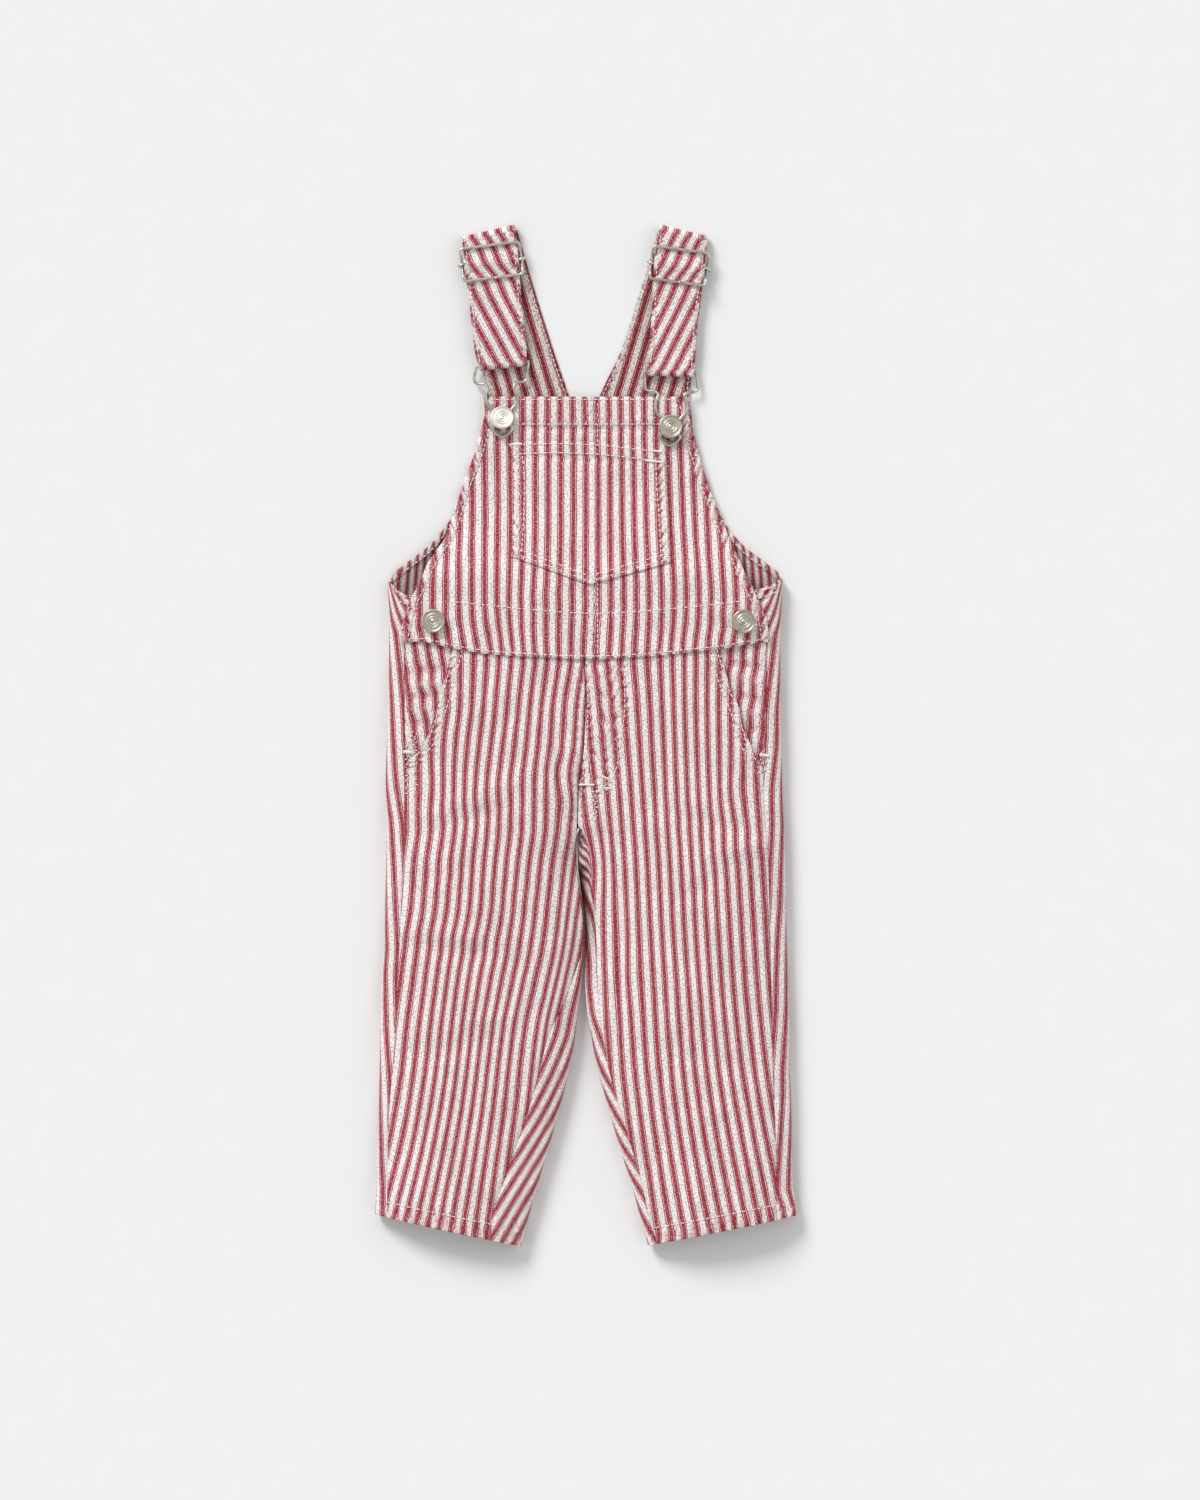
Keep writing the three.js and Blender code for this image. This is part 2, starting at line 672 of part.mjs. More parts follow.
function strap(shape) {
  const flat = (rows, share, z, up) => ({
    station: strapStation(rows, share), shift: 0, z, out: { shift: 0, z: up },
  });
  const shoulderZ = (BACK_LAYER_Z + FRONT_LAYER_Z) / 2;
  const shoulderRadius = (FRONT_LAYER_Z - BACK_LAYER_Z) / 2;
  const hookRadius = (FRONT_LAYER_Z - RETURN_LAYER_Z) / 2;
  const shoulder = strapStation(shape.front, 0);
  const hook = strapStation(shape.front, 1);
  const bar = strapStation(shape.front, shape.slider);
  const stations = [
    ...BACK_STRAP_SHARES.map((share) => flat(shape.back, share, BACK_LAYER_Z, -1)),
    ...strapBend({ ...shoulder, square: shoulder.square.clone().negate() },
      -shoulderRadius - CLOTH / 2, shoulderZ, shoulderRadius, -90, 90),
    ...FRONT_STRAP_SHARES.map((share) => flat(shape.front, share,
      FRONT_LAYER_Z + overBar(share, shape.slider, STRAP_LENGTH), 1)),
    ...strapBend(hook, -hookRadius - CLOTH / 2, BAR_Z, hookRadius, 90, -90),
    ...RETURN_STRAP_SHARES.map((share) => flat(shape.front, share, RETURN_LAYER_Z, -1)),
    ...strapBend({ ...bar, square: bar.square.clone().negate() }, 0, BAR_Z, hookRadius, -90, 90),
  ];
  const grids = [[], []];
  stations.forEach((p) => {
    const { outer, inner, square } = p.station;
    [CLOTH / 2, -CLOTH / 2].forEach((half, layer) => {
      const shift = p.shift + p.out.shift * half;
      const row = [];
      evenly(0, 1, STRAP_COLUMNS, (f) => {
        row.push([
          mix(outer.x, inner.x, f) + square.x * shift,
          mix(outer.y, inner.y, f) + square.y * shift,
          p.z + p.out.z * half,
        ]);
      });
      grids[layer].push(row);
    });
  });
  return wallSolid(grids[0], grids[1]);
}

// A round wire along a smooth line through points
function wire(points, steps, radius = WIRE_RADIUS) {
  const section = new THREE.Shape();
  const ring = [];
  for (let i = 0; i < WIRE_SIDES; i += 1) {
    const angle = (i * 2 * Math.PI) / WIRE_SIDES;
    ring.push(new THREE.Vector2(radius * Math.cos(angle), radius * Math.sin(angle)));
  }
  section.setFromPoints(ring);
  const path = new THREE.CatmullRomCurve3(points, false, 'centripetal');
  return new THREE.ExtrudeGeometry(section, { steps, extrudePath: path, bevelEnabled: false });
}

const HOOK_Z = 6.4;             // the hook on the bib's top hem
// Each hook's outline: across from the button's middle and along, towards the shoulder
const HOOK_OUTLINE = [
  { across: 16.4, along: 25.5 },
  { across: 14.9, along: 22.6 },
  { across: 10.4, along: 22.0 },
  { across: 8.2, along: 20.0 },
  { across: 9.4, along: 15.6 },
  { across: 9.6, along: 11.2 },
  { across: 8.2, along: 7.9 },
  { across: 5.6, along: 4.6 },
  { across: 5.0, along: 0 },
  { across: 5.6, along: -5.0 },
  { across: 6.0, along: -7.6 },
  { across: 3.6, along: -10.8 },
];
const HOOK_BOTTOM = { across: 0, along: -12.2 };
const HOOK_STEPS = 50;
const WIRE_END_GAP = 0.4;

// The middle of the button that each hook holds, and how the hook is turned on it
const HOOKS = {
  left: { x: -52.5, y: 197.5, turn: 2.5 },
  right: { x: 52.5, y: 192.2, turn: -1.5 },
};

// The hook's wire starts and ends in the middle of its bar, inside the strap's lower fold
function hook(place, shape) {
  const turn = THREE.MathUtils.degToRad(place.turn);
  const onGarment = (across, along, z) => new THREE.Vector3(
    place.x + across * Math.cos(turn) - along * Math.sin(turn),
    place.y + across * Math.sin(turn) + along * Math.cos(turn),
    z,
  );
  const fold = strapStation(shape.front, 1);
  const reach = (FRONT_LAYER_Z - RETURN_LAYER_Z) / 2 + CLOTH / 2;
  const left = fold.outer.x < fold.inner.x ? fold.outer : fold.inner;
  const right = fold.outer.x < fold.inner.x ? fold.inner : fold.outer;
  const along = right.clone().sub(left).normalize();
  const onBar = (from, distance) => new THREE.Vector3(
    from.x + along.x * distance - fold.square.x * reach,
    from.y + along.y * distance - fold.square.y * reach,
    BAR_Z,
  );
  const span = right.distanceTo(left);
  const side = (sign) => HOOK_OUTLINE.map((p, i) => onGarment(
    sign * p.across, p.along, mix(BAR_Z, HOOK_Z, smooth(i, 0, 4.5)),
  ));
  const points = [
    onBar(left, span / 2 - WIRE_END_GAP / 2),
    onBar(left, span * 0.25),
    onBar(left, 0.5),
    onBar(left, -1.4),
    ...side(-1),
    onGarment(HOOK_BOTTOM.across, HOOK_BOTTOM.along, HOOK_Z),
    ...side(1).reverse(),
    onBar(right, 1.4),
    onBar(right, -0.5),
    onBar(right, -span * 0.25),
    onBar(left, span / 2 + WIRE_END_GAP / 2),
  ];
  return wire(points, HOOK_STEPS);
}

const SLIDER_STEPS = 40;
const SLIDER_SIDE_CLEARANCE = 1.7;

// The slider's frame: over the strap at its two ends, and beside it at its bar
function sliderFrame(shape) {
  const bar = strapStation(shape.front, shape.slider);
  const middle = bar.outer.clone().add(bar.inner).multiplyScalar(0.5);
  const half = bar.outer.distanceTo(bar.inner) / 2 + SLIDER_SIDE_CLEARANCE;
  const end = SLIDER_HALF_LENGTH;
  const corner = 2;
  const place = (across, along, z) => new THREE.Vector3(
    middle.x + bar.across.x * across + bar.square.x * along,
    middle.y + bar.across.y * across + bar.square.y * along,
    z,
  );
  const sideZ = (along) => mix(BAR_Z + 0.4, SLIDER_Z, smooth(Math.abs(along), 2, end - corner));
  const side = (sign, alongs) => alongs.map((along) => place(sign * half, along, sideZ(along)));
  const down = [-end + corner, -5, 0, 5, end - corner];
  const points = [
    place(-WIRE_END_GAP / 2, -end, SLIDER_Z),
    place(-half / 2, -end, SLIDER_Z),
    place(-half + corner, -end, SLIDER_Z),
    ...side(-1, down),
    place(-half + corner, end, SLIDER_Z),
    place(0, end, SLIDER_Z),
    place(half - corner, end, SLIDER_Z),
    ...side(1, down.slice().reverse()),
    place(half - corner, -end, SLIDER_Z),
    place(half / 2, -end, SLIDER_Z),
    place(WIRE_END_GAP / 2, -end, SLIDER_Z),
  ];
  return wire(points, SLIDER_STEPS);
}

function sliderBar(shape) {
  const bar = strapStation(shape.front, shape.slider);
  const middle = bar.outer.clone().add(bar.inner).multiplyScalar(0.5);
  const half = bar.outer.distanceTo(bar.inner) / 2 + SLIDER_SIDE_CLEARANCE - WIRE_RADIUS - 0.3;
  const end = (sign) => new THREE.Vector3(
    middle.x + sign * bar.across.x * half,
    middle.y + sign * bar.across.y * half,
    BAR_Z,
  );
  return wire([end(-1), end(1)], 2);
}

// A shank button: head with a raised rim, a ring and a dimple, on a short shank
function button(x, y, seatZ, shankHeight, tilt) {
  const r = BUTTON_RADIUS;
  const h = shankHeight;
  const profile = [
    [0, 0],
    [SHANK_RADIUS, 0],
    [SHANK_RADIUS, h],
    [r - 1.0, h],
    [r, h + 0.9],
    [r - 0.2, h + BUTTON_HEAD - 0.6],
    [r - 1.2, h + BUTTON_HEAD],
    [r - 2.4, h + BUTTON_HEAD - 0.7],
    [2.2, h + BUTTON_HEAD - 0.7],
    [1.2, h + BUTTON_HEAD - 1.2],
    [0, h + BUTTON_HEAD - 1.2],
  ].map(([radius, height]) => new THREE.Vector2(radius, height));
  const geometry = new THREE.LatheGeometry(profile, BUTTON_SIDES);
  geometry.rotateX(Math.PI / 2);
  geometry.rotateY(THREE.MathUtils.degToRad(tilt));
  const placed = facesOut(geometry);
  placed.translate(x, y, seatZ);
  return placed;
}

const BUTTONS = [
  { name: 'chest_button_left', x: -52.5, y: 197.5, shank: 2.9, tilt: 0 },
  { name: 'chest_button_right', x: 52.5, y: 192.2, shank: 2.9, tilt: 0 },
  { name: 'side_button_left', x: -95.2, y: 70.9, shank: 1.0, tilt: -4 },
  { name: 'side_button_right', x: 97.9, y: 70.6, shank: 1.0, tilt: 4 },
];

const CLOTH_COLOUR = 0xd9a9ad;
const METAL_COLOUR = 0xb9b7b0;

function clothMaterial() {
  return new THREE.MeshStandardMaterial({ color: CLOTH_COLOUR, roughness: 0.85, metalness: 0 });
}

function metalMaterial() {
  return new THREE.MeshStandardMaterial({ color: METAL_COLOUR, roughness: 0.35, metalness: 1 });
}

const overalls = new THREE.Group();

function add(name, geometry, material) {
  const mesh = new THREE.Mesh(geometry, material);
  mesh.name = name;
  overalls.add(mesh);
}

const SIDES = [
  { name: 'left', side: LEFT, strap: LEFT_STRAP },
  { name: 'right', side: RIGHT, strap: RIGHT_STRAP },
];
SIDES.forEach((half) => {
  add(`back_${half.name}`, backPanel(half.side), clothMaterial());
  add(`front_${half.name}`, frontPanel(half.side), clothMaterial());
  add(`pocket_facing_${half.name}`, pocketFacing(half.side), clothMaterial());
  add(`bib_${half.name}`, bibHalf(half.side), clothMaterial());
  add(`strap_${half.name}`, strap(half.strap), clothMaterial());
  add(`hook_${half.name}`, hook(HOOKS[half.name], half.strap), metalMaterial());
  add(`slider_${half.name}`, sliderFrame(half.strap), metalMaterial());
  add(`slider_bar_${half.name}`, sliderBar(half.strap), metalMaterial());
});
add('bib_pocket', bibPocket(), clothMaterial());
BUTTONS.forEach((b) => {
  add(b.name, button(b.x, b.y, bibTop(b.x, b.y) + SEAM_GAP, b.shank, b.tilt), metalMaterial());
});

export default overalls;
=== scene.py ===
"""Kids' bib overalls in striped cotton, laid out flat: the looks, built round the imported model.

Places and sizes are in millimetres, as in the model's source, and turn into metres where a mesh is made.
+X is to the right seen from above, +Y towards the shoulders and +Z up.
"""
import math
from types import SimpleNamespace

import bpy
import numpy as np
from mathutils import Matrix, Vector


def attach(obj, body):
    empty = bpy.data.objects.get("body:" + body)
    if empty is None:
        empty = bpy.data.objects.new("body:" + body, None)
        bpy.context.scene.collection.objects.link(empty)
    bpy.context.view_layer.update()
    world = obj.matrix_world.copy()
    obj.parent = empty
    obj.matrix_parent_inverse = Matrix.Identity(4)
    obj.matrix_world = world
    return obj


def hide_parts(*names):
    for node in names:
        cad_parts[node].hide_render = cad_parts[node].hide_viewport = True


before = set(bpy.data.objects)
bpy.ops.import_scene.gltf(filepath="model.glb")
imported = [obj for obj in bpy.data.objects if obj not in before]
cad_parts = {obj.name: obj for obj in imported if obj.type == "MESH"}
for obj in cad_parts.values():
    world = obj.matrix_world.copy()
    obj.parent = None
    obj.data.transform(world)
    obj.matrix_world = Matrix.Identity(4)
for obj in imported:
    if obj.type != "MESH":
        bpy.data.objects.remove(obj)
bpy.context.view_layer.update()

MM = 0.001

# Cloth
PERIOD = 7.6            # one repeat of the stripe
RUMPLE = 0.3            # height of the faint unevenness all over
CLOTH = 1.2             # the model's wall, which sets how far the layers lie apart
SHEET = 0.8             # one layer of cloth, as it shows
HEM_SHEET = 1.7         # turned hems
BIB_GAP = 0.7
LAYER_GAP = 0.3
SEAM_HALF_GAP = 0.08    # each piece ends this far from the seam's line
SEAM_DIP = 0.75         # how deep the cloth rolls into a seam
SEAM_REACH = 1.5

# Levels along the garment
CROTCH_Y = -81
WAIST_Y = 60
SIDE_TOP_Y = 89
BACK_TOP_Y = 178
BIB_SIDE_Y = 58
BIB_TOP_Y = 211.2
HEM_Y = -309
HEM_STITCH = 9.4        # the leg hem's stitches lie this far above its edge
SIDE_FOLD_RADIUS = 5.5
BIB_SEAM_X = 4.8
CENTRE_STRIP = 4
INSEAM_SETBACK = 0.4


def mix(start, end, share):
    return start + (end - start) * share


def smoothstep(value, low, high):
    share = np.clip((value - low) / (high - low), 0, 1)
    return share * share * (3 - 2 * share)


def gentle_slopes(at, values):
    """Slopes at each row that never swing past the rows' own values."""
    chords = np.diff(values, axis=0) / np.diff(at, axis=0)
    product = chords[:-1] * chords[1:]
    total = chords[:-1] + chords[1:]
    inner = np.where(product > 0, 2 * product / np.where(total == 0, 1, total), 0)
    return np.concatenate([chords[:1], inner, chords[-1:]])


def hermite(share, span, start, end, start_slope, end_slope):
    rest = 1 - share
    return (start * rest * rest * (1 + 2 * share) + end * share * share * (3 - 2 * share)
            + span * share * rest * (rest * start_slope - share * end_slope))


class Table:
    """Rows of named columns, read smoothly at any value of the first column."""

    def __init__(self, names, rows):
        rows = np.array(sorted(rows), float)
        self.at = rows[:, 0]
        self.columns = dict(zip(names.split(), rows[:, 1:].T))
        self.slopes = {name: gentle_slopes(self.at, column) for name, column in self.columns.items()}

    def __call__(self, name, value):
        value = np.clip(np.asarray(value, float), self.at[0], self.at[-1])
        i = np.clip(np.searchsorted(self.at, value, side="right") - 1, 0, len(self.at) - 2)
        span = self.at[i + 1] - self.at[i]
        column, slopes = self.columns[name], self.slopes[name]
        return hermite((value - self.at[i]) / span, span, column[i], column[i + 1], slopes[i], slopes[i + 1])


# Each side's lines at a level y, as in the model: outline outside and inside, and the two seams on top
LEFT_LINES = Table("outer outer_seam inner_seam inner", [
    (95, -124.2, -91.4, -1.4, -0.9),
    (72, -123.2, -91.4, -1.4, -0.9),
    (60.5, -123.0, -113.6, -1.4, -0.9),
    (20, -123.6, -113.3, -0.8, -0.9),
    (-6, -124.5, -113.0, -1.6, -0.9),
    (-31, -125.2, -113.3, -4.6, -0.9),
    (-44, -124.9, -113.4, -5.2, -1.2),
    (-56, -124.5, -113.6, -5.6, -3.2),
    (-66, -124.6, -113.9, -6.1, -5.4),
    (-80, -124.8, -114.3, -6.0, -5.2),
    (-94, -125.2, -114.8, -4.6, -3.7),
    (-106, -125.5, -115.2, -3.1, -2.2),
    (-122, -125.9, -116.0, -1.8, -0.9),
    (-131, -126.1, -116.4, -2.2, -1.0),
    (-150, -127.4, -117.4, -7.6, -2.6),
    (-172, -128.3, -118.5, -16.4, -5.2),
    (-187, -128.7, -119.3, -23.2, -6.8),
    (-206, -128.9, -120.5, -28.3, -10.2),
    (-231, -129.5, -122.7, -34.7, -16.0),
    (-256, -130.2, -123.6, -42.9, -23.0),
    (-281, -130.8, -124.0, -50.9, -30.3),
    (-299, -131.7, -124.2, -57.6, -35.4),
    (-319, -131.9, -124.4, -60.0, -40.8),
])
RIGHT_LINES = Table("outer outer_seam inner_seam inner", [
    (95, 122.8, 90.5, -1.1, -0.6),
    (72, 121.7, 90.5, -1.1, -0.6),
    (60.5, 121.1, 113.0, -1.1, -0.6),
    (20, 121.1, 112.3, -0.5, -0.6),
    (-6, 122.0, 111.4, -1.3, -0.6),
    (-31, 122.3, 110.5, -4.3, -0.6),
    (-44, 122.9, 111.0, -4.9, -0.9),
    (-56, 123.6, 111.7, -5.3, -2.9),
    (-61, 123.7, 112.4, -1.6, -4.4),
    (-66, 123.8, 112.8, 0.6, -5.1),
    (-80, 124.0, 113.6, 2.3, -4.9),
    (-97, 124.5, 114.0, 3.6, -3.2),
    (-111, 124.9, 114.3, 5.3, -1.4),
    (-122, 125.0, 114.6, 6.0, -0.6),
    (-141, 125.5, 115.0, 6.6, -0.6),
    (-150, 125.8, 115.3, 6.8, -1.0),
    (-172, 126.5, 115.7, 8.2, 0.4),
    (-187, 126.8, 115.9, 10.2, 2.9),
    (-206, 127.0, 116.4, 13.4, 6.5),
    (-231, 128.0, 117.3, 20.0, 13.3),
    (-256, 128.3, 118.3, 27.6, 20.4),
    (-281, 128.9, 118.6, 34.6, 28.4),
    (-299, 131.7, 118.4, 38.8, 33.2),
    (-319, 131.7, 118.2, 44.5, 38.6),
])
SWELL = Table("left_inner right_inner swell sinks", [
    (95, 12.0, 12.0, 4.8, 0.2),
    (60, 12.5, 12.5, 5.0, 0.2),
    (0, 12.5, 12.5, 5.8, 0.35),
    (-31, 12.0, 12.0, 6.6, 0.6),
    (-56, 9.5, 9.5, 8.0, 1),
    (-78, 7.6, 3.6, 9.0, 1),
    (-84, 7.8, 2.6, 9.0, 1),
    (-110, 8.6, 2.6, 9.0, 1),
    (-150, 9.5, 6.0, 9.0, 1),
    (-190, 11.0, 10.5, 8.5, 1),
    (-319, 11.0, 11.0, 8.0, 1),
])
# How far the right leg's back lies below its front, beside the inseam
VALLEY = Table("depth", [(-57, 0), (-76, 1), (-125, 1), (-165, 0)])
BACK_ARMHOLE = Table("y", [
    (-124, 95),
    (-118.5, 102),
    (-111.4, 108.1),
    (-97.7, 118.8),
    (-85.2, 134.4),
    (-76, 153),
    (-69, BACK_TOP_Y),
    (0, BACK_TOP_Y),
])
BIB_SIDES = Table("left right", [
    (BIB_SIDE_Y, -116.4, 114.4),
    (71, -114.1, 112.6),
    (82, -110.3, 108.6),
    (94, -104.5, 102.6),
    (107, -98.9, 96.8),
    (126, -87.2, 88.6),
    (141, -82.0, 82.5),
    (157, -77.0, 76.2),
    (175, -70.0, 70.5),
    (191, -65.6, 66.1),
    (202, -63.3, 64.4),
    (BIB_TOP_Y, -63.9, 61.7),
])
BIB_LOWER_EDGE = Table("y", [
    (-116.4, 57.5),
    (-104, 58.0),
    (-83, 53.8),
    (-62, 50.4),
    (-40, 48.8),
    (3, 47.0),
    (40, 48.8),
    (65, 51.4),
    (84, 53.4),
    (97, 55.8),
    (114.4, 58.0),
])
BIB_HEIGHT = Table("middle edge", [
    (BIB_TOP_Y, 5.0, 4.4),
    (185, 5.2, 4.0),
    (160, 6.5, 3.6),
    (140, 9.0, 4.0),
    (125, 12.0, 6.0),
    (110, 15.0, 10.5),
    (95, 17.4, 14.5),
    (80, 18.5, 15.5),
])
POCKET_SIDES = Table("left right", [
    (0, -46.7, 52.9),
    (0.3, -45.6, 52.2),
    (0.6, -45.0, 50.8),
    (0.85, -46.0, 50.0),
    (1, -49.2, 49.8),
])
POCKET_TOP = Table("y", [
    (-49.2, 181.9),
    (-46.7, 182.6),
    (-20, 183.6),
    (2.2, 183.0),
    (28, 180.6),
    (52.9, 177.4),
])
POCKET_LEFT_TIP = (-46.9, 111.2)
POCKET_MIDDLE_TIP = (2.2, 93.4)
POCKET_RIGHT_TIP = (52.9, 107.5)

LEFT = SimpleNamespace(
    name="left", lines=LEFT_LINES, direction=1, hem_outer_y=-298.8, hem_inner_y=-318.8,
    slant_end=-18, slant_lift=0.5,
    slant=Table("x", [(WAIST_Y, -81.4), (37, -87.5), (8, -95.8), (-5, -100.8), (-12.5, -107.0), (-18, -113.2)]),
)
RIGHT = SimpleNamespace(
    name="right", lines=RIGHT_LINES, direction=-1, hem_outer_y=-299.4, hem_inner_y=-318.2,
    slant_end=-22, slant_lift=1.1,
    slant=Table("x", [(WAIST_Y, 81.0), (31, 89.4), (16, 95.6), (0, 99.9), (-11, 104.8), (-22, 110.7)]),
)
SIDES = (LEFT, RIGHT)

# Creases and soft folds: middle, heading, half length, half width, height and bend
LARGE_FOLDS = [
    (-92, -96, 62, 34, 6, 1.8, 0),
    (-58, -128, 40, 30, 6, -1.6, 0),
    (-30, -64, 118, 26, 6, 1.5, 0),
    (-88, -196, 12, 30, 7, -1.8, 0),
    (-70, -226, -20, 32, 6, 1.5, 0),
    (-96, -262, 78, 30, 7, 1.4, 0),
    (36, -66, 58, 26, 6, 1.5, 0),
    (88, -92, 116, 34, 6, 1.8, 0),
    (62, -140, 140, 30, 6, -1.6, 0),
    (84, -205, -12, 32, 7, -1.8, 0),
    (72, -238, 20, 30, 6, 1.5, 0),
    (96, -268, 100, 28, 7, 1.4, 0),
]
FRONT_CREASES = [
    (-70, -39, 22, 34, 6.5, 0.9, 0.002),
    (-66, -51, 20, 30, 5, -0.7, 0.002),
    (-82, -125, -5, 36, 6.5, 0.8, 0),
    (-78, -136, -7, 34, 6, -0.6, 0),
    (-88, -87, 10, 16, 6, -0.7, 0),
    (-44, -101, -24, 20, 4.5, 0.5, 0.004),
    (-26, 28, 62, 15, 5, -0.6, 0),
    (-15, -19, 96, 13, 3.4, -1.2, 0.006),
    (-8.5, -18, 96, 15, 3.2, 0.8, 0.006),
    (-60, 22, 48, 16, 5, 0.5, 0),
    (-50, 8, 50, 14, 4, -0.45, 0),
    (-36, -152, 74, 26, 5, 0.7, 0.003),
    (-104, -160, 84, 30, 4.5, -0.6, 0),
    (-62, -178, 8, 18, 4.5, 0.45, 0),
    (-46, -232, 66, 26, 5, -0.6, 0),
    (-84, -286, 84, 15, 5, 0.6, 0),
    (-112, -236, 92, 24, 3.5, -0.5, 0),
    (22, -144, 89, 46, 3.6, -1.3, 0.0006),
    (15.5, -150, 87, 40, 3.4, 0.7, 0.0006),
    (31, -130, 92, 40, 4.6, 0.5, 0),
    (80, -55, -14, 26, 5.5, -0.8, 0),
    (92, -72, 10, 25, 5.5, 0.8, 0),
    (68, -97, 28, 18, 5.5, -0.6, 0),
    (52, -203, 68, 20, 5, -0.6, 0),
    (44, -30, 76, 24, 5, -0.45, 0),
    (62, 14, 84, 24, 6, 0.5, 0),
    (56, -176, 104, 22, 5, 0.6, 0.003),
    (104, -176, 92, 30, 4, -0.5, 0),
    (68, -288, 98, 15, 5, 0.6, 0),
    (100, -232, 84, 22, 5, -0.6, 0),
    (44, -264, 70, 24, 4.5, -0.5, 0),
]
# Where stripes are drawn aside, in counts: towards -x where the pull is above 0
STRIPE_PULLS = [
    (-16, -22, 90, 9, 7, 0.24, 0),
    (-12, -43, 90, 9, 7, -0.2, 0),
    (4, -82, 90, 26, 10, -0.5, 0),
    (-104, 26, 90, 12, 8, 0.2, 0),
    (-96, -30, 90, 14, 9, -0.2, 0),
    (92, -34, 90, 14, 9, 0.2, 0),
    (26, -150, 90, 20, 7, 0.16, 0),
]
YOKE_CREASES = [
    (-92, 72, 12, 15, 3.6, 0.6, 0),
    (-88, 65, 10, 14, 3.0, -0.5, 0),
    (-58, 62, 78, 9, 4, -0.5, 0),
    (-34, 60, 84, 9, 4, 0.4, 0),
    (16, 62, 88, 10, 2.8, -0.6, 0),
    (26, 60, 86, 10, 3.4, 0.5, 0),
    (46, 62, 96, 10, 3.6, -0.5, 0),
    (62, 60, 100, 9, 4, 0.4, 0),
    (90, 66, 168, 14, 3.4, -0.5, 0),
    (94, 74, 168, 14, 3.6, 0.6, 0),
]
BIB_CREASES = [
    (-72, 118, 58, 22, 5, 0.7, 0.004),
    (-64, 130, 64, 20, 4.5, -0.5, 0),
    (70, 120, 118, 24, 5, 0.7, 0),
    (62, 132, 112, 20, 4.5, -0.5, 0),
    (-56, 160, 84, 20, 3, -0.5, 0),
    (60, 156, 96, 24, 3, -0.5, 0),
    (-20, 88, 6, 24, 4, 0.4, 0),
    (30, 86, -5, 24, 4, 0.4, 0),
    (-30, 190, 3, 34, 3.6, 0.4, 0),
    (28, 190, -3, 32, 3.6, 0.4, 0),
    (-2, 190.5, 0, 60, 2.6, -0.9, 0),
    (4, 171.5, -2.5, 46, 2.4, -0.7, 0),
    (-48.5, 130, 90, 32, 2.2, -0.5, 0),
]
FACING_CREASES = [
    (-99, 41, 4, 16, 2.6, -0.8, 0),
    (-98, 32, 6, 16, 2.4, 0.7, 0),
    (-99, 25, 2, 16, 2.4, -0.8, 0),
    (-101, 17, 6, 14, 2.4, 0.6, 0),
    (-104, 8, 0, 12, 2.6, -0.6, 0),
    (99, 44, -8, 16, 2.4, -0.7, 0),
    (100, 35, -12, 16, 2.4, 0.7, 0),
    (101, 24, -8, 15, 2.4, -0.7, 0),
    (102, 14, -12, 13, 2.4, 0.6, 0),
    (104, 4, -6, 12, 2.4, -0.6, 0),
]
POCKET_CREASES = [
    (-26, 150, 84, 26, 5, 0.6, 0),
    (-34, 124, 70, 14, 4, -0.4, 0),
    (6, 138, 94, 30, 6, 0.5, 0),
    (30, 152, 96, 24, 5, -0.5, 0),
    (40, 168, 118, 12, 3.5, 0.5, 0),
    (22, 112, 60, 14, 4, 0.4, 0),
]
# The hidden side has troughs that rise off the floor, so their heights are all up
UNDERSIDE_CREASES = [
    (-96, 60, 70, 34, 7, 2.2, 0),
    (-40, 96, 30, 32, 6, 1.8, 0),
    (-70, 8, 50, 34, 7, 2.4, 0.002),
    (-30, -30, 140, 28, 6, 2.0, 0),
    (-96, -70, 60, 30, 6, 1.8, 0),
    (-52, -104, 26, 32, 7, 2.6, 0),
    (-92, -150, -14, 28, 6, 2.0, 0.003),
    (-50, -186, 22, 26, 6, 1.8, 0),
    (-86, -236, 10, 28, 6, 2.2, 0),
    (-104, -276, 82, 20, 5, 1.4, 0),
    (92, 74, 110, 34, 7, 2.2, 0),
    (44, 110, 152, 30, 6, 1.8, 0),
    (74, -6, 128, 34, 7, 2.4, 0.002),
    (34, -44, 44, 26, 6, 2.0, 0),
    (98, -90, 122, 30, 6, 1.8, 0),
    (56, -120, 150, 32, 7, 2.4, 0),
    (88, -172, 8, 30, 6, 2.0, -0.003),
    (62, -214, 160, 26, 6, 1.8, 0),
    (92, -252, -12, 28, 6, 2.2, 0),
    (-6, 60, 92, 60, 4, 1.0, 0),
]


def crease_height(rows, x, y):
    height = np.zeros(np.broadcast(x, y).shape)
    for middle_x, middle_y, heading, long, wide, high, bend in rows:
        turn = math.radians(heading)
        along = (x - middle_x) * math.cos(turn) + (y - middle_y) * math.sin(turn)
        across = (y - middle_y) * math.cos(turn) - (x - middle_x) * math.sin(turn) - bend * along ** 2
        height = height + high * np.exp(-((along / long) ** 2) - (across / wide) ** 2)
    return height


def ripple(along, across, spacing, lean=0.5):
    """Uneven puckers along a seam, between -1 and 1."""
    s = (along + lean * across) * 2 * math.pi / spacing
    drift = 1.3 * np.sin(s * 0.137 + 0.7) + 0.9 * np.sin(s * 0.291 + 2.1)
    return 0.62 * np.sin(s + drift) + 0.38 * np.sin(s * 1.71 + 1.7 * drift + 1.1)


def rumple(x, y):
    """The faint unevenness of washed cloth, between -1 and 1."""
    broad = np.sin(0.31 * x + 1.7 * np.sin(0.083 * y + 0.6)) * np.sin(0.22 * y + 1.9 * np.sin(0.071 * x + 1.1))
    fine = np.sin(0.62 * x + 0.35 * y + 1.3 * np.sin(0.15 * y)) * np.sin(0.5 * y - 0.2 * x + 2.1)
    return 0.6 * broad + 0.4 * fine


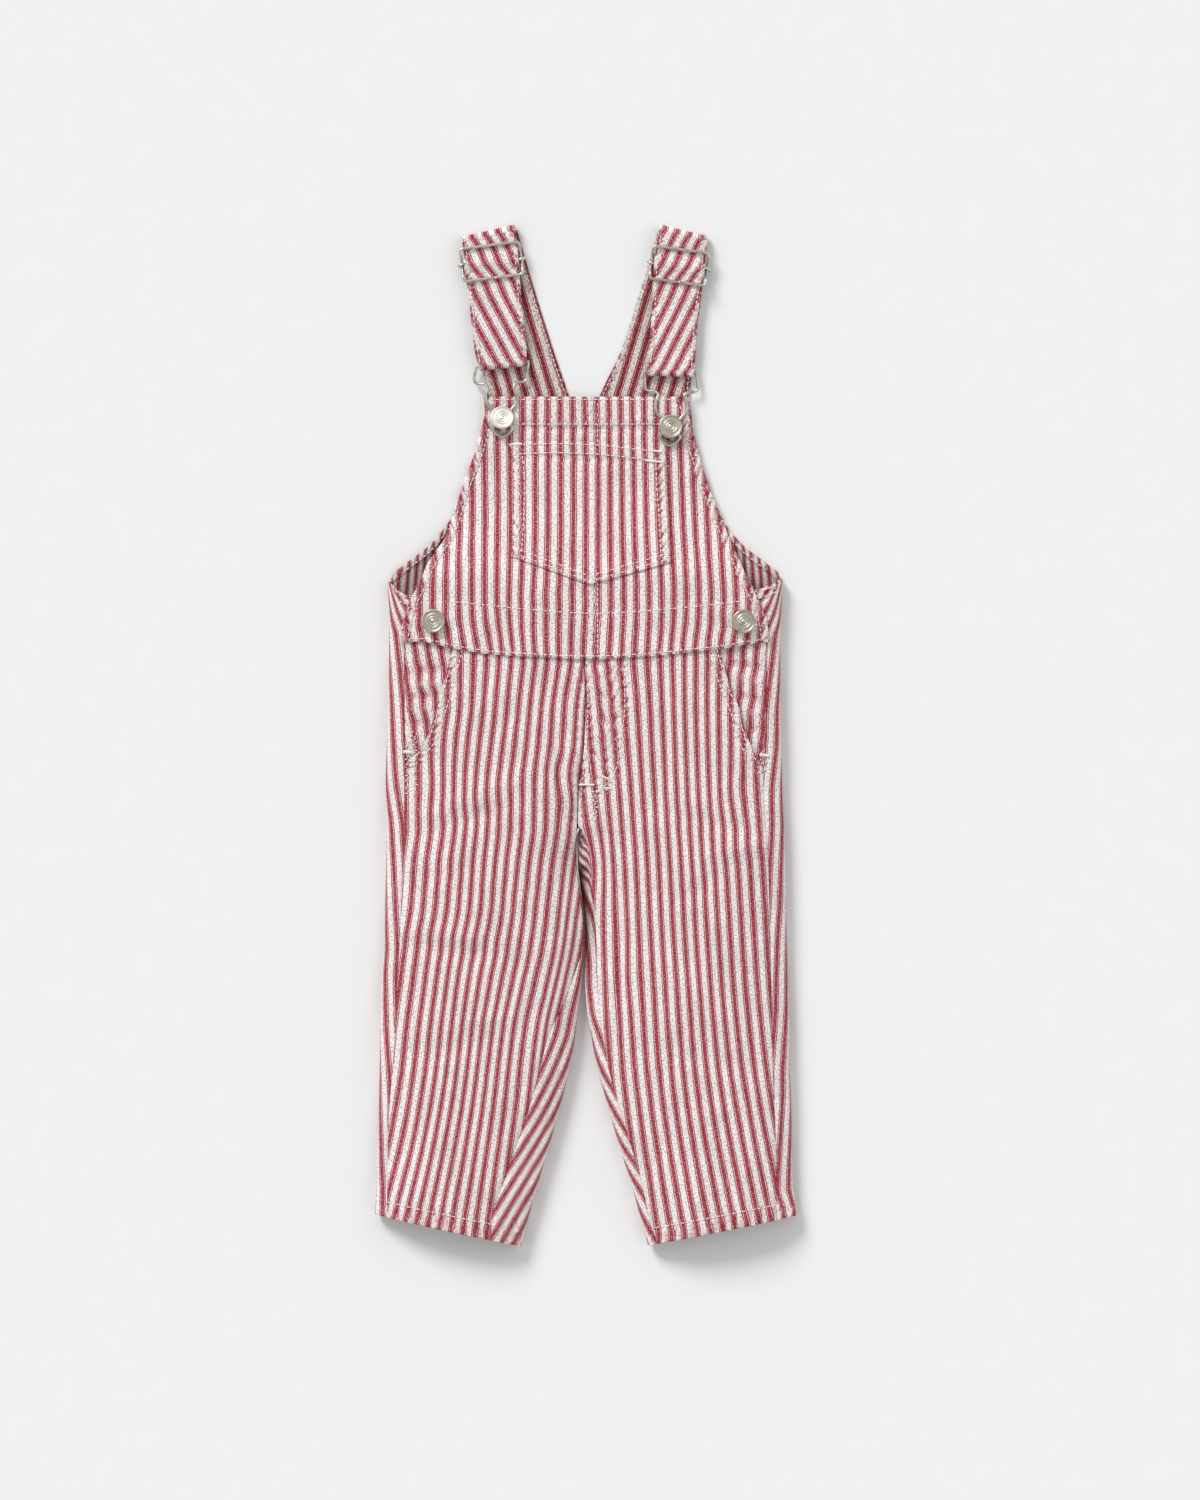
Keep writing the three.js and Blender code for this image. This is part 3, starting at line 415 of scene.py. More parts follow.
def nearest_on(line, x, y):
    """Distance along a line of points and across it, to its left, of the point of it that is nearest."""
    line = np.asarray(line, float)
    best = np.full(np.broadcast(x, y).shape, np.inf)
    along = np.zeros(best.shape)
    side = np.zeros(best.shape)
    start = 0.0
    for a, b in zip(line[:-1], line[1:]):
        step = b - a
        length = math.hypot(*step)
        share = np.clip(((x - a[0]) * step[0] + (y - a[1]) * step[1]) / length ** 2, 0, 1)
        away_x = x - a[0] - share * step[0]
        away_y = y - a[1] - share * step[1]
        away = np.hypot(away_x, away_y)
        closer = away < best
        best = np.where(closer, away, best)
        along = np.where(closer, start + share * length, along)
        side = np.where(closer, np.sign(step[0] * away_y - step[1] * away_x), side)
        start += length
    return along, best * side


def offset_line(line, distance):
    """The line moved to its left by a distance."""
    line = np.asarray(line, float)
    tangent = np.gradient(line, axis=0)
    tangent /= np.linalg.norm(tangent, axis=1, keepdims=True)
    return line + distance * np.stack([-tangent[:, 1], tangent[:, 0]], axis=1)


def smooth_line(points, steps=10):
    """A Catmull-Rom line through points."""
    points = np.asarray(points, float)
    padded = np.concatenate([[2 * points[0] - points[1]], points, [2 * points[-1] - points[-2]]])
    found = []
    for i in range(1, len(padded) - 2):
        p0, p1, p2, p3 = padded[i - 1:i + 3]
        for t in np.arange(steps) / steps:
            found.append(0.5 * (2 * p1 + (p2 - p0) * t + (2 * p0 - 5 * p1 + 4 * p2 - p3) * t ** 2
                                + (3 * p1 - p0 - 3 * p2 + p3) * t ** 3))
    found.append(padded[-2])
    return np.array(found)


def row_tilt(side, level):
    return (1 - smoothstep(level, HEM_Y, -150)) * (side.hem_outer_y - side.hem_inner_y) / 2


def section(side, level):
    """The garment cut across along a row, which tilts to the hem's slope near the hem."""
    level = np.asarray(level, float)
    tilt = row_tilt(side, level)
    outer = side.lines("outer", level + tilt)
    width = np.abs(side.lines("inner", level - tilt) - outer)
    leg = 1 - smoothstep(level, CROTCH_Y, CROTCH_Y + 28)
    inner_height = SWELL(f"{side.name}_inner", level)
    fold = leg * inner_height / 2
    middle_seam = np.abs(side.lines("inner_seam", level) - side.lines("outer", level))
    top_end = mix(middle_seam, width - fold, leg)
    inner_seam = np.abs(side.lines("inner_seam", level - tilt) - outer)
    return SimpleNamespace(
        direction=side.direction, level=level, tilt=tilt, outer=outer, width=width, leg=leg, fold=fold, top_end=top_end,
        outer_seam=np.abs(side.lines("outer_seam", level + tilt) - outer),
        inner_seam=mix(inner_seam, np.minimum(inner_seam, width - INSEAM_SETBACK), leg),
        inner_height=inner_height, swell=SWELL("swell", level), sinks=SWELL("sinks", level),
        valley=VALLEY("depth", level) * (side is RIGHT),
    )


def top_height(place, q, x, y):
    """Height of the trousers' upper face, q in from the outer edge."""
    radius = SIDE_FOLD_RADIUS
    on_fold = radius + np.sqrt(np.maximum(0, radius ** 2 - (radius - q) ** 2))
    past = np.maximum(0, q - place.top_end)
    inner = np.maximum(place.fold, 1e-6)
    on_inner = inner + np.sqrt(np.maximum(0, inner ** 2 - past ** 2))
    t = np.clip((q - radius) / (place.top_end - radius), 0, 1)
    level = mix(2 * radius, place.inner_height, t ** 3)
    arch = (1 - np.abs(2 * t - 1) ** 2.5) ** 0.8
    bulge = np.where(t < 0.5, arch, mix(1, arch, place.sinks))
    fade = smoothstep(t, 0, 0.15) * (1 - smoothstep(t, 0.85, 1))
    near = smoothstep(t, 0, 0.06) * (1 - smoothstep(t, 0.95, 1))
    creases = 0.55 * crease_height(LARGE_FOLDS, x, y) * fade
    creases = creases + (1.6 * crease_height(FRONT_CREASES, x, y) + RUMPLE * rumple(x, y)) * near
    top = level + place.swell * bulge + creases
    return np.where(q < radius, on_fold, np.where((past > 0) & (place.leg > 0.5), on_inner, top))


def row_at(side, x, y):
    """The level of the row that passes through a place, and how far in from the edge it is."""
    level = np.asarray(y, float) + 0 * x
    for _ in range(4):
        place = section(side, level)
        q = side.direction * (x - place.outer)
        level = y - place.tilt * (1 - 2 * q / place.width)
    place = section(side, level)
    return place, side.direction * (x - place.outer)


def trousers_top(side, x, y):
    place, q = row_at(side, x, y)
    return top_height(place, q, x, y)


def armhole_line(side):
    levels = np.linspace(BIB_SIDE_Y, BIB_TOP_Y, 60)
    return np.stack([BIB_SIDES(side.name, levels), levels], axis=1)


def pocket_side_line(name):
    shares = np.linspace(0, 1, 30)
    tip_y = POCKET_LEFT_TIP[1] if name == "left" else POCKET_RIGHT_TIP[1]
    x = POCKET_SIDES(name, shares)
    return np.stack([x, mix(tip_y, POCKET_TOP("y", x), shares)], axis=1)


LOWER_EDGE = np.stack([np.linspace(-116.4, 114.4, 80)] * 2, axis=1)
LOWER_EDGE[:, 1] = BIB_LOWER_EDGE("y", LOWER_EDGE[:, 0])
FACING_LINE = smooth_line([(-85.2, 83.1), (-60, 80.6), (-30, 77.6), (3.6, 75.6), (40, 77.4), (70, 80.2), (96.1, 83.1)])
FLY_LINE = smooth_line([(23.6, 45.6), (23.9, 30), (23.9, 14.4), (21.6, -2), (19.8, -15.6), (18, -23.1), (13.4, -30),
                        (6.7, -35)])
CENTRE_FRONT = Table("x", [(60, -1.2), (20, -0.6), (-6, -1.4), (-31, -4.4), (-44, -5.0), (-56, -5.4)])
CENTRE_LINE = np.stack([CENTRE_FRONT("x", np.linspace(60, -56, 50)), np.linspace(60, -56, 50)], axis=1)


def slant_line(side):
    levels = np.linspace(WAIST_Y, side.slant_end, 50)
    return np.stack([side.slant("x", levels), levels], axis=1)


def side_seam_line(side):
    levels = np.linspace(-28, WAIST_Y, 40)
    return np.stack([side.lines("outer_seam", levels), levels], axis=1)


def band(across, inside, outside, soft=1.0):
    """1 between two distances from a line, fading softly past them."""
    return smoothstep(across, inside - soft, inside + soft) * (1 - smoothstep(across, outside - soft, outside + soft))


def seam_puckers(x, y, features):
    """Height of the puckers along seams, and their wear with painted shade in their hollows: line, nearest and furthest
    distance, spacing and height.
    """
    height = np.zeros(np.broadcast(x, y).shape)
    wear = np.zeros(height.shape)
    for line, low, high, spacing, size in features:
        along, across = nearest_on(line, x, y)
        share = band(np.abs(across), low, high)
        waves = ripple(along, np.abs(across), spacing, 1.0)
        height = height + size * share * waves
        wear = wear + min(1, 1.6 * size) * share * waves
    return height, np.clip(wear, -1, 1)


BIB_PUCKERS = [
    (armhole_line(LEFT), -2, 6.2, 6.4, 0.75),
    (armhole_line(RIGHT), -2, 6.2, 6.6, 0.75),
    (LOWER_EDGE, -2, 3.4, 6.5, 0.42),
    (FACING_LINE, -1, 2.2, 9.0, 0.26),
    ([(BIB_SEAM_X, 47), (BIB_SEAM_X, BIB_TOP_Y)], -1, 3.6, 7.5, 0.3),
    ([(-64, BIB_TOP_Y - 16.5), (62, BIB_TOP_Y - 16.5)], -1, 3.5, 7.0, 0.28),
]
POCKET_PUCKERS = [
    (pocket_side_line("left"), -2, 7.0, 5.6, 0.5),
    (pocket_side_line("right"), -2, 7.0, 5.6, 0.5),
    ([POCKET_LEFT_TIP, POCKET_MIDDLE_TIP, POCKET_RIGHT_TIP], -1, 5.6, 7.5, 0.32),
]


def front_puckers(side):
    features = [
        (slant_line(side), -2, 7.0, 5.4, 0.5),
        (CENTRE_LINE, 0.6, 5.0, 7.0, 0.4),
        (side_seam_line(side), -1, 4.0, 7.4, 0.26),
    ]
    if side is RIGHT:
        features.append((FLY_LINE, -1, 3.4, 6.4, 0.4))
        features.append((offset_line(FLY_LINE, -9), -1, 8.0, 9.6, 0.36))
    return features


def bib_top(x, y):
    """Height of the bib's upper face: over the trousers at the yoke, on its own above them."""
    level = np.minimum(y, SIDE_TOP_Y)
    on_trousers = np.where(
        x < CENTRE_FRONT("x", level),
        top_height(section(LEFT, level), x - LEFT.lines("outer", level), x, y),
        top_height(section(RIGHT, level), RIGHT.lines("outer", level) - x, x, y),
    ) + BIB_GAP + CLOTH
    left, right = BIB_SIDES("left", y), BIB_SIDES("right", y)
    across = np.clip((2 * x - left - right) / (right - left), -1, 1)
    free = mix(BIB_HEIGHT("edge", y), BIB_HEIGHT("middle", y), 1 - np.abs(across) ** 2.6)
    free = free + 1.3 * crease_height(BIB_CREASES, x, y) + 0.8 * RUMPLE * rumple(x, y)
    yoke = on_trousers + 1.3 * crease_height(YOKE_CREASES, x, y)
    return mix(yoke, free, smoothstep(y, 90, 112))


def pocket_top(x, y):
    return bib_top(x, y) + LAYER_GAP + SHEET + 0.25 + np.maximum(-0.25, crease_height(POCKET_CREASES, x, y))


# Where the stripes run: at a level y, the x of some counted bars
STRIPES = {
    "left": ([-7, -2, 0, 7, 8, 9], Table("a b c", [
        (44.4, -78.3, -62.0, -9.5), (19.4, -78.7, -63.6, -13.4), (-5.6, -81.3, -66.6, -15.0),
        (-30.6, -82.5, -68.7, -17.4), (-55.6, -81.9, -68.5, -17.8), (-80.6, -84.6, -70.7, -21.3),
        (-105.6, -86.4, -72.4, -24.0), (-130.6, -90.2, -76.5, -27.0), (-155.6, -93.6, -80.4, -32.2),
        (-180.6, -97.0, -83.7, -37.8), (-205.6, -99.7, -86.6, -41.2), (-230.6, -103.6, -90.3, -44.0),
        (-255.6, -108.4, -95.0, -47.3), (-280.6, -114.6, -100.4, -50.7), (-310.0, -122.4, -107.4, -54.6),
    ])),
    "right": ([-5, -4, 0, 5, 9], Table("a b c", [
        (44.4, 12.9, 46.1, 82.9), (19.4, 15.8, 47.2, 82.4), (-5.6, 17.9, 48.1, 82.7),
        (-30.6, 20.1, 49.1, 83.5), (-55.6, 22.0, 50.4, 84.9), (-80.6, 23.8, 52.1, 86.8),
        (-105.6, 25.0, 53.2, 88.4), (-130.6, 26.2, 54.6, 89.9), (-155.6, 27.2, 56.4, 91.5),
        (-180.6, 28.3, 58.1, 93.8), (-205.6, 30.0, 60.0, 96.7), (-230.6, 32.8, 63.0, 100.6),
        (-255.6, 36.2, 66.9, 105.4), (-280.6, 40.0, 71.6, 110.6), (-310.0, 44.8, 77.4, 116.4),
    ])),
}
BIB_STRIPES = ([-12, -8, -4, 0, 5, 8, 14], Table("a b c d e f g", [
    (211, -94.4, -63.4, -31.9, -1.0, 36.2, 58.6, 105.0),
    (184, -94.4, -63.6, -32.0, -0.6, 36.3, 58.6, 105.0),
    (160, -94.4, -63.4, -31.8, -0.2, 37.0, 59.2, 105.4),
    (134, -94.6, -63.2, -31.7, -0.2, 37.4, 60.2, 106.2),
    (109, -95.0, -63.3, -32.1, -0.4, 38.4, 61.6, 107.3),
    (84, -95.6, -63.2, -32.9, -0.4, 39.3, 62.4, 109.0),
    (70, -95.6, -62.4, -32.8, -0.9, 39.0, 61.8, 108.8),
    (59, -94.0, -60.6, -32.4, -1.6, 38.4, 60.6, 107.8),
    (46, -91.6, -58.6, -31.6, -1.8, 37.6, 59.6, 106.8),
]))


def count_between(counts, stations, x):
    """Stripes counted at x, smoothly between the stations where the count is known."""
    at = np.stack(np.broadcast_arrays(*stations, x)[:-1])
    values = np.broadcast_to(np.array(counts, float).reshape(-1, *([1] * (at.ndim - 1))), at.shape)
    slopes = gentle_slopes(at, values)
    found = values[0] + (x - at[0]) * slopes[0]
    for i in range(len(counts) - 1):
        span = at[i + 1] - at[i]
        share = np.clip((x - at[i]) / span, 0, 1)
        inside = hermite(share, span, values[i], values[i + 1], slopes[i], slopes[i + 1])
        found = np.where(x >= at[i], inside, found)
    return np.where(x > at[-1], values[-1] + (x - at[-1]) * slopes[-1], found)


def front_stripes(side, x, y):
    counts, rows = STRIPES[side.name]
    a, b, c = (rows(name, y) for name in "abc")
    if side is LEFT:
        stations = [a - 5 * PERIOD, a, b, c, c + PERIOD, c + 1.72 * PERIOD]
    else:
        stations = [a - PERIOD, a, b, c, c + 4 * PERIOD]
    pulled = crease_height(STRIPE_PULLS, x, y) + 0.08 * crease_height(FRONT_CREASES, x, y)
    return count_between(counts, stations, x) + pulled


def bib_stripes(x, y):
    counts, rows = BIB_STRIPES
    found = count_between(counts, [rows(name, y) for name in "abcdefg"], x)
    return found + 0.1 * crease_height(YOKE_CREASES + BIB_CREASES, x, y)


def stops(count, length, edges=(0.3, 0.8)):
    """Shares from 0 to 1, with extra ones just inside both ends, so that the edges turn softly."""
    near = np.array(edges) / length
    return np.concatenate([[0], near, np.linspace(0, 1, count + 1)[1:-1], 1 - near[::-1], [1]])


def grid_normals(points):
    """Directions square to a grid of points."""
    down = np.gradient(points, axis=0)
    across = np.gradient(points, axis=1)
    normal = np.cross(across, down)
    return normal / np.maximum(np.linalg.norm(normal, axis=2, keepdims=True), 1e-9)


def quads(rows, columns, first=0):
    corner = first + np.arange(rows - 1)[:, None] * columns + np.arange(columns - 1)[None, :]
    corner = corner.ravel()
    return np.stack([corner, corner + 1, corner + columns + 1, corner + columns], axis=1)


def rim(rows, columns):
    """The quads that close the edge between two layers of a grid."""
    loop = np.concatenate([
        np.arange(columns - 1),
        np.arange(rows - 1) * columns + columns - 1,
        (rows - 1) * columns + np.arange(columns - 1, 0, -1),
        np.arange(rows - 1, 0, -1) * columns,
    ])
    after = np.roll(loop, -1)
    layer = rows * columns
    return np.stack([after, loop, loop + layer, after + layer], axis=1)


def volume(points, faces):
    a, b, c, d = (points[faces[:, i]] for i in range(4))
    return (np.einsum("ij,ij->i", a, np.cross(b, c)) + np.einsum("ij,ij->i", a, np.cross(c, d))).sum() / 6


def make_object(name, points, faces, material, uv=None, wear=None):
    """A smooth mesh of quads, from points in millimetres."""
    if volume(points, faces) < 0:
        faces = faces[:, ::-1]
    mesh = bpy.data.meshes.new(name)
    mesh.vertices.add(len(points))
    mesh.vertices.foreach_set("co", (points * MM).astype(np.float32).ravel())
    mesh.loops.add(faces.size)
    mesh.loops.foreach_set("vertex_index", faces.astype(np.int32).ravel())
    mesh.polygons.add(len(faces))
    mesh.polygons.foreach_set("loop_start", np.arange(0, faces.size, 4, dtype=np.int32))
    mesh.polygons.foreach_set("use_smooth", np.ones(len(faces), bool))
    mesh.update(calc_edges=True)
    mesh.validate()
    for layer_name, values in (("stripes", uv), ("wear", wear)):
        if values is not None:
            layer = mesh.uv_layers.new(name=layer_name)
            layer.data.foreach_set("uv", values[faces.ravel()].astype(np.float32).ravel())
    mesh.materials.append(material)
    made = bpy.data.objects.new(name, mesh)
    bpy.context.scene.collection.objects.link(made)
    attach(made, "root")
    return made


PUCKER_PULL = 0.15


def two_faces(wear, stripes, painted_valley_shade=0.0, inside=1.0):
    """Wear, with painted shade in pucker hollows, and side of the cloth for the outside layer, with the painted valley
    shade going above 1, and then for the inside one, whose side value is its painted inside shade.
    """
    worn_and_shaded = np.broadcast_to(0.5 + 0.5 * wear, stripes.shape).ravel()
    outside = np.broadcast_to(2.0 * painted_valley_shade, stripes.shape).ravel()
    inside_shade_share = np.broadcast_to(inside, stripes.shape).ravel()
    return np.stack([np.tile(worn_and_shaded, 2), np.concatenate([outside, inside_shade_share])], axis=1)


def cloth_piece(node, outer, normals, wall, stripes, along, wear, material,
                painted_valley_shade=0.0, inside=1.0):
    """A closed thin shell that stands for a node: its outside as a grid, and its inside a wall in from it."""
    rows, columns = outer.shape[:2]
    inner = outer - normals * np.broadcast_to(wall, (rows, columns))[..., None]
    points = np.concatenate([outer.reshape(-1, 3), inner.reshape(-1, 3)])
    faces = np.concatenate([
        quads(rows, columns),
        quads(rows, columns, rows * columns)[:, ::-1],
        rim(rows, columns),
    ])
    stripes = stripes + PUCKER_PULL * wear
    uv = np.stack(np.broadcast_arrays(stripes, along / PERIOD), axis=-1).reshape(-1, 2)
    # The second channel carries painted shade: the inside layer's, and the valley's on the outside layer
    faces_seen = two_faces(wear, stripes, painted_valley_shade, inside)
    piece = make_object(f"{node}_cloth", points, faces, material, np.tile(uv, (2, 1)), faces_seen)
    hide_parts(node)
    return piece


# Materials
class Nodes:
    """Short calls to add nodes and links to a material."""

    def __init__(self, name):
        self.material = bpy.data.materials.new(name)
        self.material.use_nodes = True
        self.tree = self.material.node_tree
        self.shader = self.tree.nodes["Principled BSDF"]

    def add(self, kind, inputs=None, **settings):
        node = self.tree.nodes.new(kind)
        for key, value in settings.items():
            setattr(node, key, value)
        for key, value in (inputs or {}).items():
            if isinstance(value, bpy.types.NodeSocket):
                self.tree.links.new(value, node.inputs[key])
            else:
                node.inputs[key].default_value = value
        return node

    def math(self, operation, first, second=0.0, third=0.0):
        return self.add("ShaderNodeMath", {0: first, 1: second, 2: third}, operation=operation).outputs[0]

    def map(self, value, low, high, to_low, to_high):
        node = self.add("ShaderNodeMapRange", {0: value, 1: low, 2: high, 3: to_low, 4: to_high})
        return node.outputs[0]

    def blend(self, kind, share, first, second):
        node = self.add("ShaderNodeMix", data_type="RGBA", blend_type=kind)
        for socket, value in ((node.inputs[0], share), (node.inputs[6], first), (node.inputs[7], second)):
            if isinstance(value, bpy.types.NodeSocket):
                self.tree.links.new(value, socket)
            else:
                socket.default_value = value
        return node.outputs[2]

    def link(self, output, name):
        self.tree.links.new(output, self.shader.inputs[name])


def colour(red, green, blue):
    """A colour given as 0 to 255 in sRGB, as the linear one that shaders take."""
    def linear(value):
        share = value / 255
        return share / 12.92 if share <= 0.04045 else ((share + 0.055) / 1.055) ** 2.4
    return (linear(red), linear(green), linear(blue), 1)


# Half of a stripe's repeat, from the middle of its bar: where each colour starts, as shares of the repeat
STRIPE_COLOURS = [
    (0.000, colour(166, 32, 60)),
    (0.144, colour(168, 37, 64)),
    (0.160, colour(244, 212, 215)),
    (0.196, colour(242, 212, 215)),
    (0.212, colour(158, 40, 66)),
    (0.268, colour(158, 40, 66)),
    (0.286, colour(254, 250, 248)),
    (0.500, colour(255, 254, 253)),
]


def striped_cotton():
    n = Nodes("striped_cotton")
    uv = n.add("ShaderNodeUVMap", uv_map="stripes").outputs[0]
    split = n.add("ShaderNodeSeparateXYZ", {0: uv})
    count, along = split.outputs[0], split.outputs[1]
    wobble = n.add("ShaderNodeTexNoise", {"Vector": uv, "Scale": 2.2, "Detail": 2.0}, noise_dimensions="2D")
    fray = n.add("ShaderNodeTexNoise", {"Vector": uv, "Scale": 16.0, "Detail": 2.0}, noise_dimensions="2D")
    shifted = n.math("MULTIPLY_ADD", n.math("SUBTRACT", wobble.outputs[0], 0.5), 0.05, count)
    shifted = n.math("MULTIPLY_ADD", n.math("SUBTRACT", fray.outputs[0], 0.5), 0.045, shifted)
    from_bar = n.math("PINGPONG", shifted, 0.5)
    ramp = n.add("ShaderNodeValToRGB", {0: from_bar})
    ramp.color_ramp.elements.remove(ramp.color_ramp.elements[1])
    ramp.color_ramp.elements[0].position = 0.0
    ramp.color_ramp.elements[0].color = STRIPE_COLOURS[0][1]
    for position, shade in STRIPE_COLOURS[1:]:
        ramp.color_ramp.elements.new(position).color = shade

    # The weft is white, so it shows in the bars as short pale flecks across them
    flecks = n.add("ShaderNodeCombineXYZ", {0: n.math("MULTIPLY", count, 6.5), 1: n.math("MULTIPLY", along, 12.0)})
    weft = n.add("ShaderNodeTexNoise", {"Vector": flecks.outputs[0], "Scale": 1.0, "Detail": 2.0},
                 noise_dimensions="2D")
    fleck_share = n.map(weft.outputs[0], 0.5, 0.78, 0.0, 0.62)
    base = n.blend("MIX", fleck_share, ramp.outputs[0], colour(240, 216, 216))
    # Puckers fade on their ridges from wash and wear; their hollows stay deep and also take painted shade, as do the
    # hem bands, stitch grooves and facing troughs, while facing crests are painted paler
    worn_and_shaded = n.add("ShaderNodeSeparateXYZ", {0: n.add("ShaderNodeUVMap", uv_map="wear").outputs[0]})
    ridge = n.map(worn_and_shaded.outputs[0], 0.55, 1.0, 0.0, 0.34)
    hollow_wear_and_shade = n.map(worn_and_shaded.outputs[0], 0.0, 0.45, 0.85, 0.0)
    base = n.blend("MIX", ridge, base, colour(246, 232, 230))
    base = n.blend("MULTIPLY", hollow_wear_and_shade, base, colour(204, 128, 138))
    cloud = n.add("ShaderNodeTexNoise", {"Vector": uv, "Scale": 0.35, "Detail": 3.0}, noise_dimensions="2D")
    base = n.blend("MULTIPLY", n.map(cloud.outputs[0], 0.35, 0.7, 0.0, 0.5), base, colour(232, 228, 224))
    grain = n.add("ShaderNodeTexNoise", {"Vector": uv, "Scale": 6.5, "Detail": 3.0}, noise_dimensions="2D")
    base = n.blend("MULTIPLY", n.map(grain.outputs[0], 0.44, 0.66, 0.0, 1.0), base, colour(212, 190, 190))
    # The inside of the cloth is painted deeper and duller: partly its duller wrong side, partly painted shade where the
    # back and the backs of the straps lie in shade
    inside = n.add("ShaderNodeGamma", {0: base, 1: 1.3}).outputs[0]
    inside = n.blend("MULTIPLY", 1.0, inside, colour(236, 234, 232))
    base = n.blend("MIX", n.math("MINIMUM", worn_and_shaded.outputs[1], 1.0), base, inside)
    # Painted shade: the dark valley between the legs below the crotch, multiplied darker where the value goes past 1
    base = n.blend("MULTIPLY", n.map(worn_and_shaded.outputs[1], 1.0, 2.0, 0.0, 1.0), base, colour(112, 84, 84))
    n.link(base, "Base Color")

    # Twill: fine diagonal ribs crossed by the yarns
    rib = n.math("SINE", n.math("MULTIPLY", n.math("ADD", n.math("MULTIPLY", count, 1.0), along), 96.0))
    yarn = n.math("SINE", n.math("MULTIPLY", along, 150.0))
    weave = n.math("MULTIPLY_ADD", yarn, 0.4, rib)
    weave = n.math("MULTIPLY_ADD", fray.outputs[0], 1.6, weave)
    bump = n.add("ShaderNodeBump", {"Strength": 0.45, "Distance": 0.00008, "Height": weave})
    n.link(bump.outputs[0], "Normal")
    n.link(n.map(fray.outputs[0], 0.3, 0.7, 0.84, 0.94), "Roughness")
    n.shader.inputs["Sheen Weight"].default_value = 0.12
    n.shader.inputs["Sheen Roughness"].default_value = 0.5
    n.shader.inputs["Specular IOR Level"].default_value = 0.25
    return n.material


def thread_cotton():
    n = Nodes("sewing_thread")
    place = n.add("ShaderNodeTexCoord").outputs["Object"]
    twist = n.add("ShaderNodeTexNoise", {"Vector": place, "Scale": 900.0, "Detail": 2.0})
    n.link(n.blend("MIX", twist.outputs[0], colour(236, 230, 226), colour(250, 247, 244)), "Base Color")
    bump = n.add("ShaderNodeBump", {"Strength": 0.4, "Distance": 0.00005, "Height": twist.outputs[0]})
    n.link(bump.outputs[0], "Normal")
    n.shader.inputs["Roughness"].default_value = 0.7
    n.shader.inputs["Sheen Weight"].default_value = 0.1
    return n.material


def metal(name, dark, light, rough_low, rough_high, scale):
    n = Nodes(name)
    place = n.add("ShaderNodeTexCoord").outputs["Object"]
    tarnish = n.add("ShaderNodeTexNoise", {"Vector": place, "Scale": scale, "Detail": 5.0})
    n.link(n.blend("MIX", n.map(tarnish.outputs[0], 0.35, 0.68, 0.0, 1.0), dark, light), "Base Color")
    n.link(n.map(tarnish.outputs[0], 0.3, 0.7, rough_high, rough_low), "Roughness")
    grain = n.add("ShaderNodeTexNoise", {"Vector": place, "Scale": scale * 6, "Detail": 3.0})
    bump = n.add("ShaderNodeBump", {"Strength": 0.25, "Distance": 0.00006, "Height": grain.outputs[0]})
    n.link(bump.outputs[0], "Normal")
    n.shader.inputs["Metallic"].default_value = 1.0
    return n.material


COTTON = striped_cotton()
THREAD = thread_cotton()
NICKEL = metal("buckle_metal", colour(176, 172, 162), colour(226, 223, 214), 0.24, 0.42, 260.0)
BUTTON_METAL = metal("button_metal", colour(176, 170, 156), colour(214, 208, 194), 0.4, 0.54, 420.0)
# Painted highlight: a paler copy of the button metal, for the chest button that catches the light
PAINTED_LIT_BUTTON_METAL = metal("button_metal_light", colour(226, 222, 212), colour(244, 241, 234), 0.42, 0.55, 420.0)


# Cloth pieces
def front_start(side, place, level):
    seam = place.outer_seam + SEAM_HALF_GAP
    slant = np.abs(side.slant("x", level) - place.outer)
    return np.where(level < side.slant_end, seam, np.maximum(seam, slant))


def seam_dip(distance):
    return SEAM_DIP * np.exp(-((distance / SEAM_REACH) ** 2))


FRONT_ROWS = 230
FRONT_COLUMNS = 72


def front_piece(side):
    level = mix(HEM_Y, WAIST_Y, stops(FRONT_ROWS, WAIST_Y - HEM_Y))[:, None]
    place = section(side, level)
    start = front_start(side, place, level)
    q = mix(start, place.inner_seam - SEAM_HALF_GAP, stops(FRONT_COLUMNS, 108)[None, :])
    x = place.outer + side.direction * q
    y = level + place.tilt * (1 - 2 * q / place.width)
    z = top_height(place, q, x, y)
    on_slant = smoothstep(level, side.slant_end - 2, side.slant_end + 6)
    from_start = q - start
    z = z - seam_dip(from_start) * (1 - on_slant) - mix(0.4, 1, place.leg) * seam_dip(place.inner_seam - q)
    z = z + on_slant * side.slant_lift * np.exp(-((from_start / 3.5) ** 2)) * (1 - smoothstep(level, 40, 52))
    z = z - 0.3 * np.exp(-((from_start / 0.5) ** 2)) * on_slant
    z = z + 2.4 * place.valley * np.exp(-(((place.inner_seam - q) / 6) ** 2))
    pucker, wear = seam_puckers(x, y, front_puckers(side))
    hem = level - HEM_Y
    hem_share = 1 - smoothstep(hem, HEM_STITCH - 1, HEM_STITCH + 0.6)
    waves = ripple(q, hem, 6.0, 0.25) * (1 - smoothstep(hem, HEM_STITCH, HEM_STITCH + 5))
    groove = np.exp(-(((hem - HEM_STITCH) / 0.9) ** 2))
    pucker = pucker + 0.3 * waves + 0.4 * hem_share - 0.4 * groove
    # The hem's ripples fade and darken like other puckers; the hem band and the groove at its stitches take painted
    # shade
    wear = np.clip(wear + 0.4 * waves - 0.25 * hem_share - 0.3 * groove, -1, 1)
    z = z + pucker - 0.35 * np.exp(-((hem / 0.5) ** 2))
    outer = np.stack([x, y, z], axis=-1)
    normals = grid_normals(outer)
    normals *= np.sign(normals[..., 2:3])
    wall = mix(SHEET, HEM_SHEET, hem_share)
    return cloth_piece(f"front_{side.name}", outer, normals, wall, front_stripes(side, x, y), y, wear, COTTON)


STUB_COLUMNS = 10
FOLD_COLUMNS = 14
FLOOR_COLUMNS = 62
BACK_ROWS = 220
UPPER_ROWS = 60


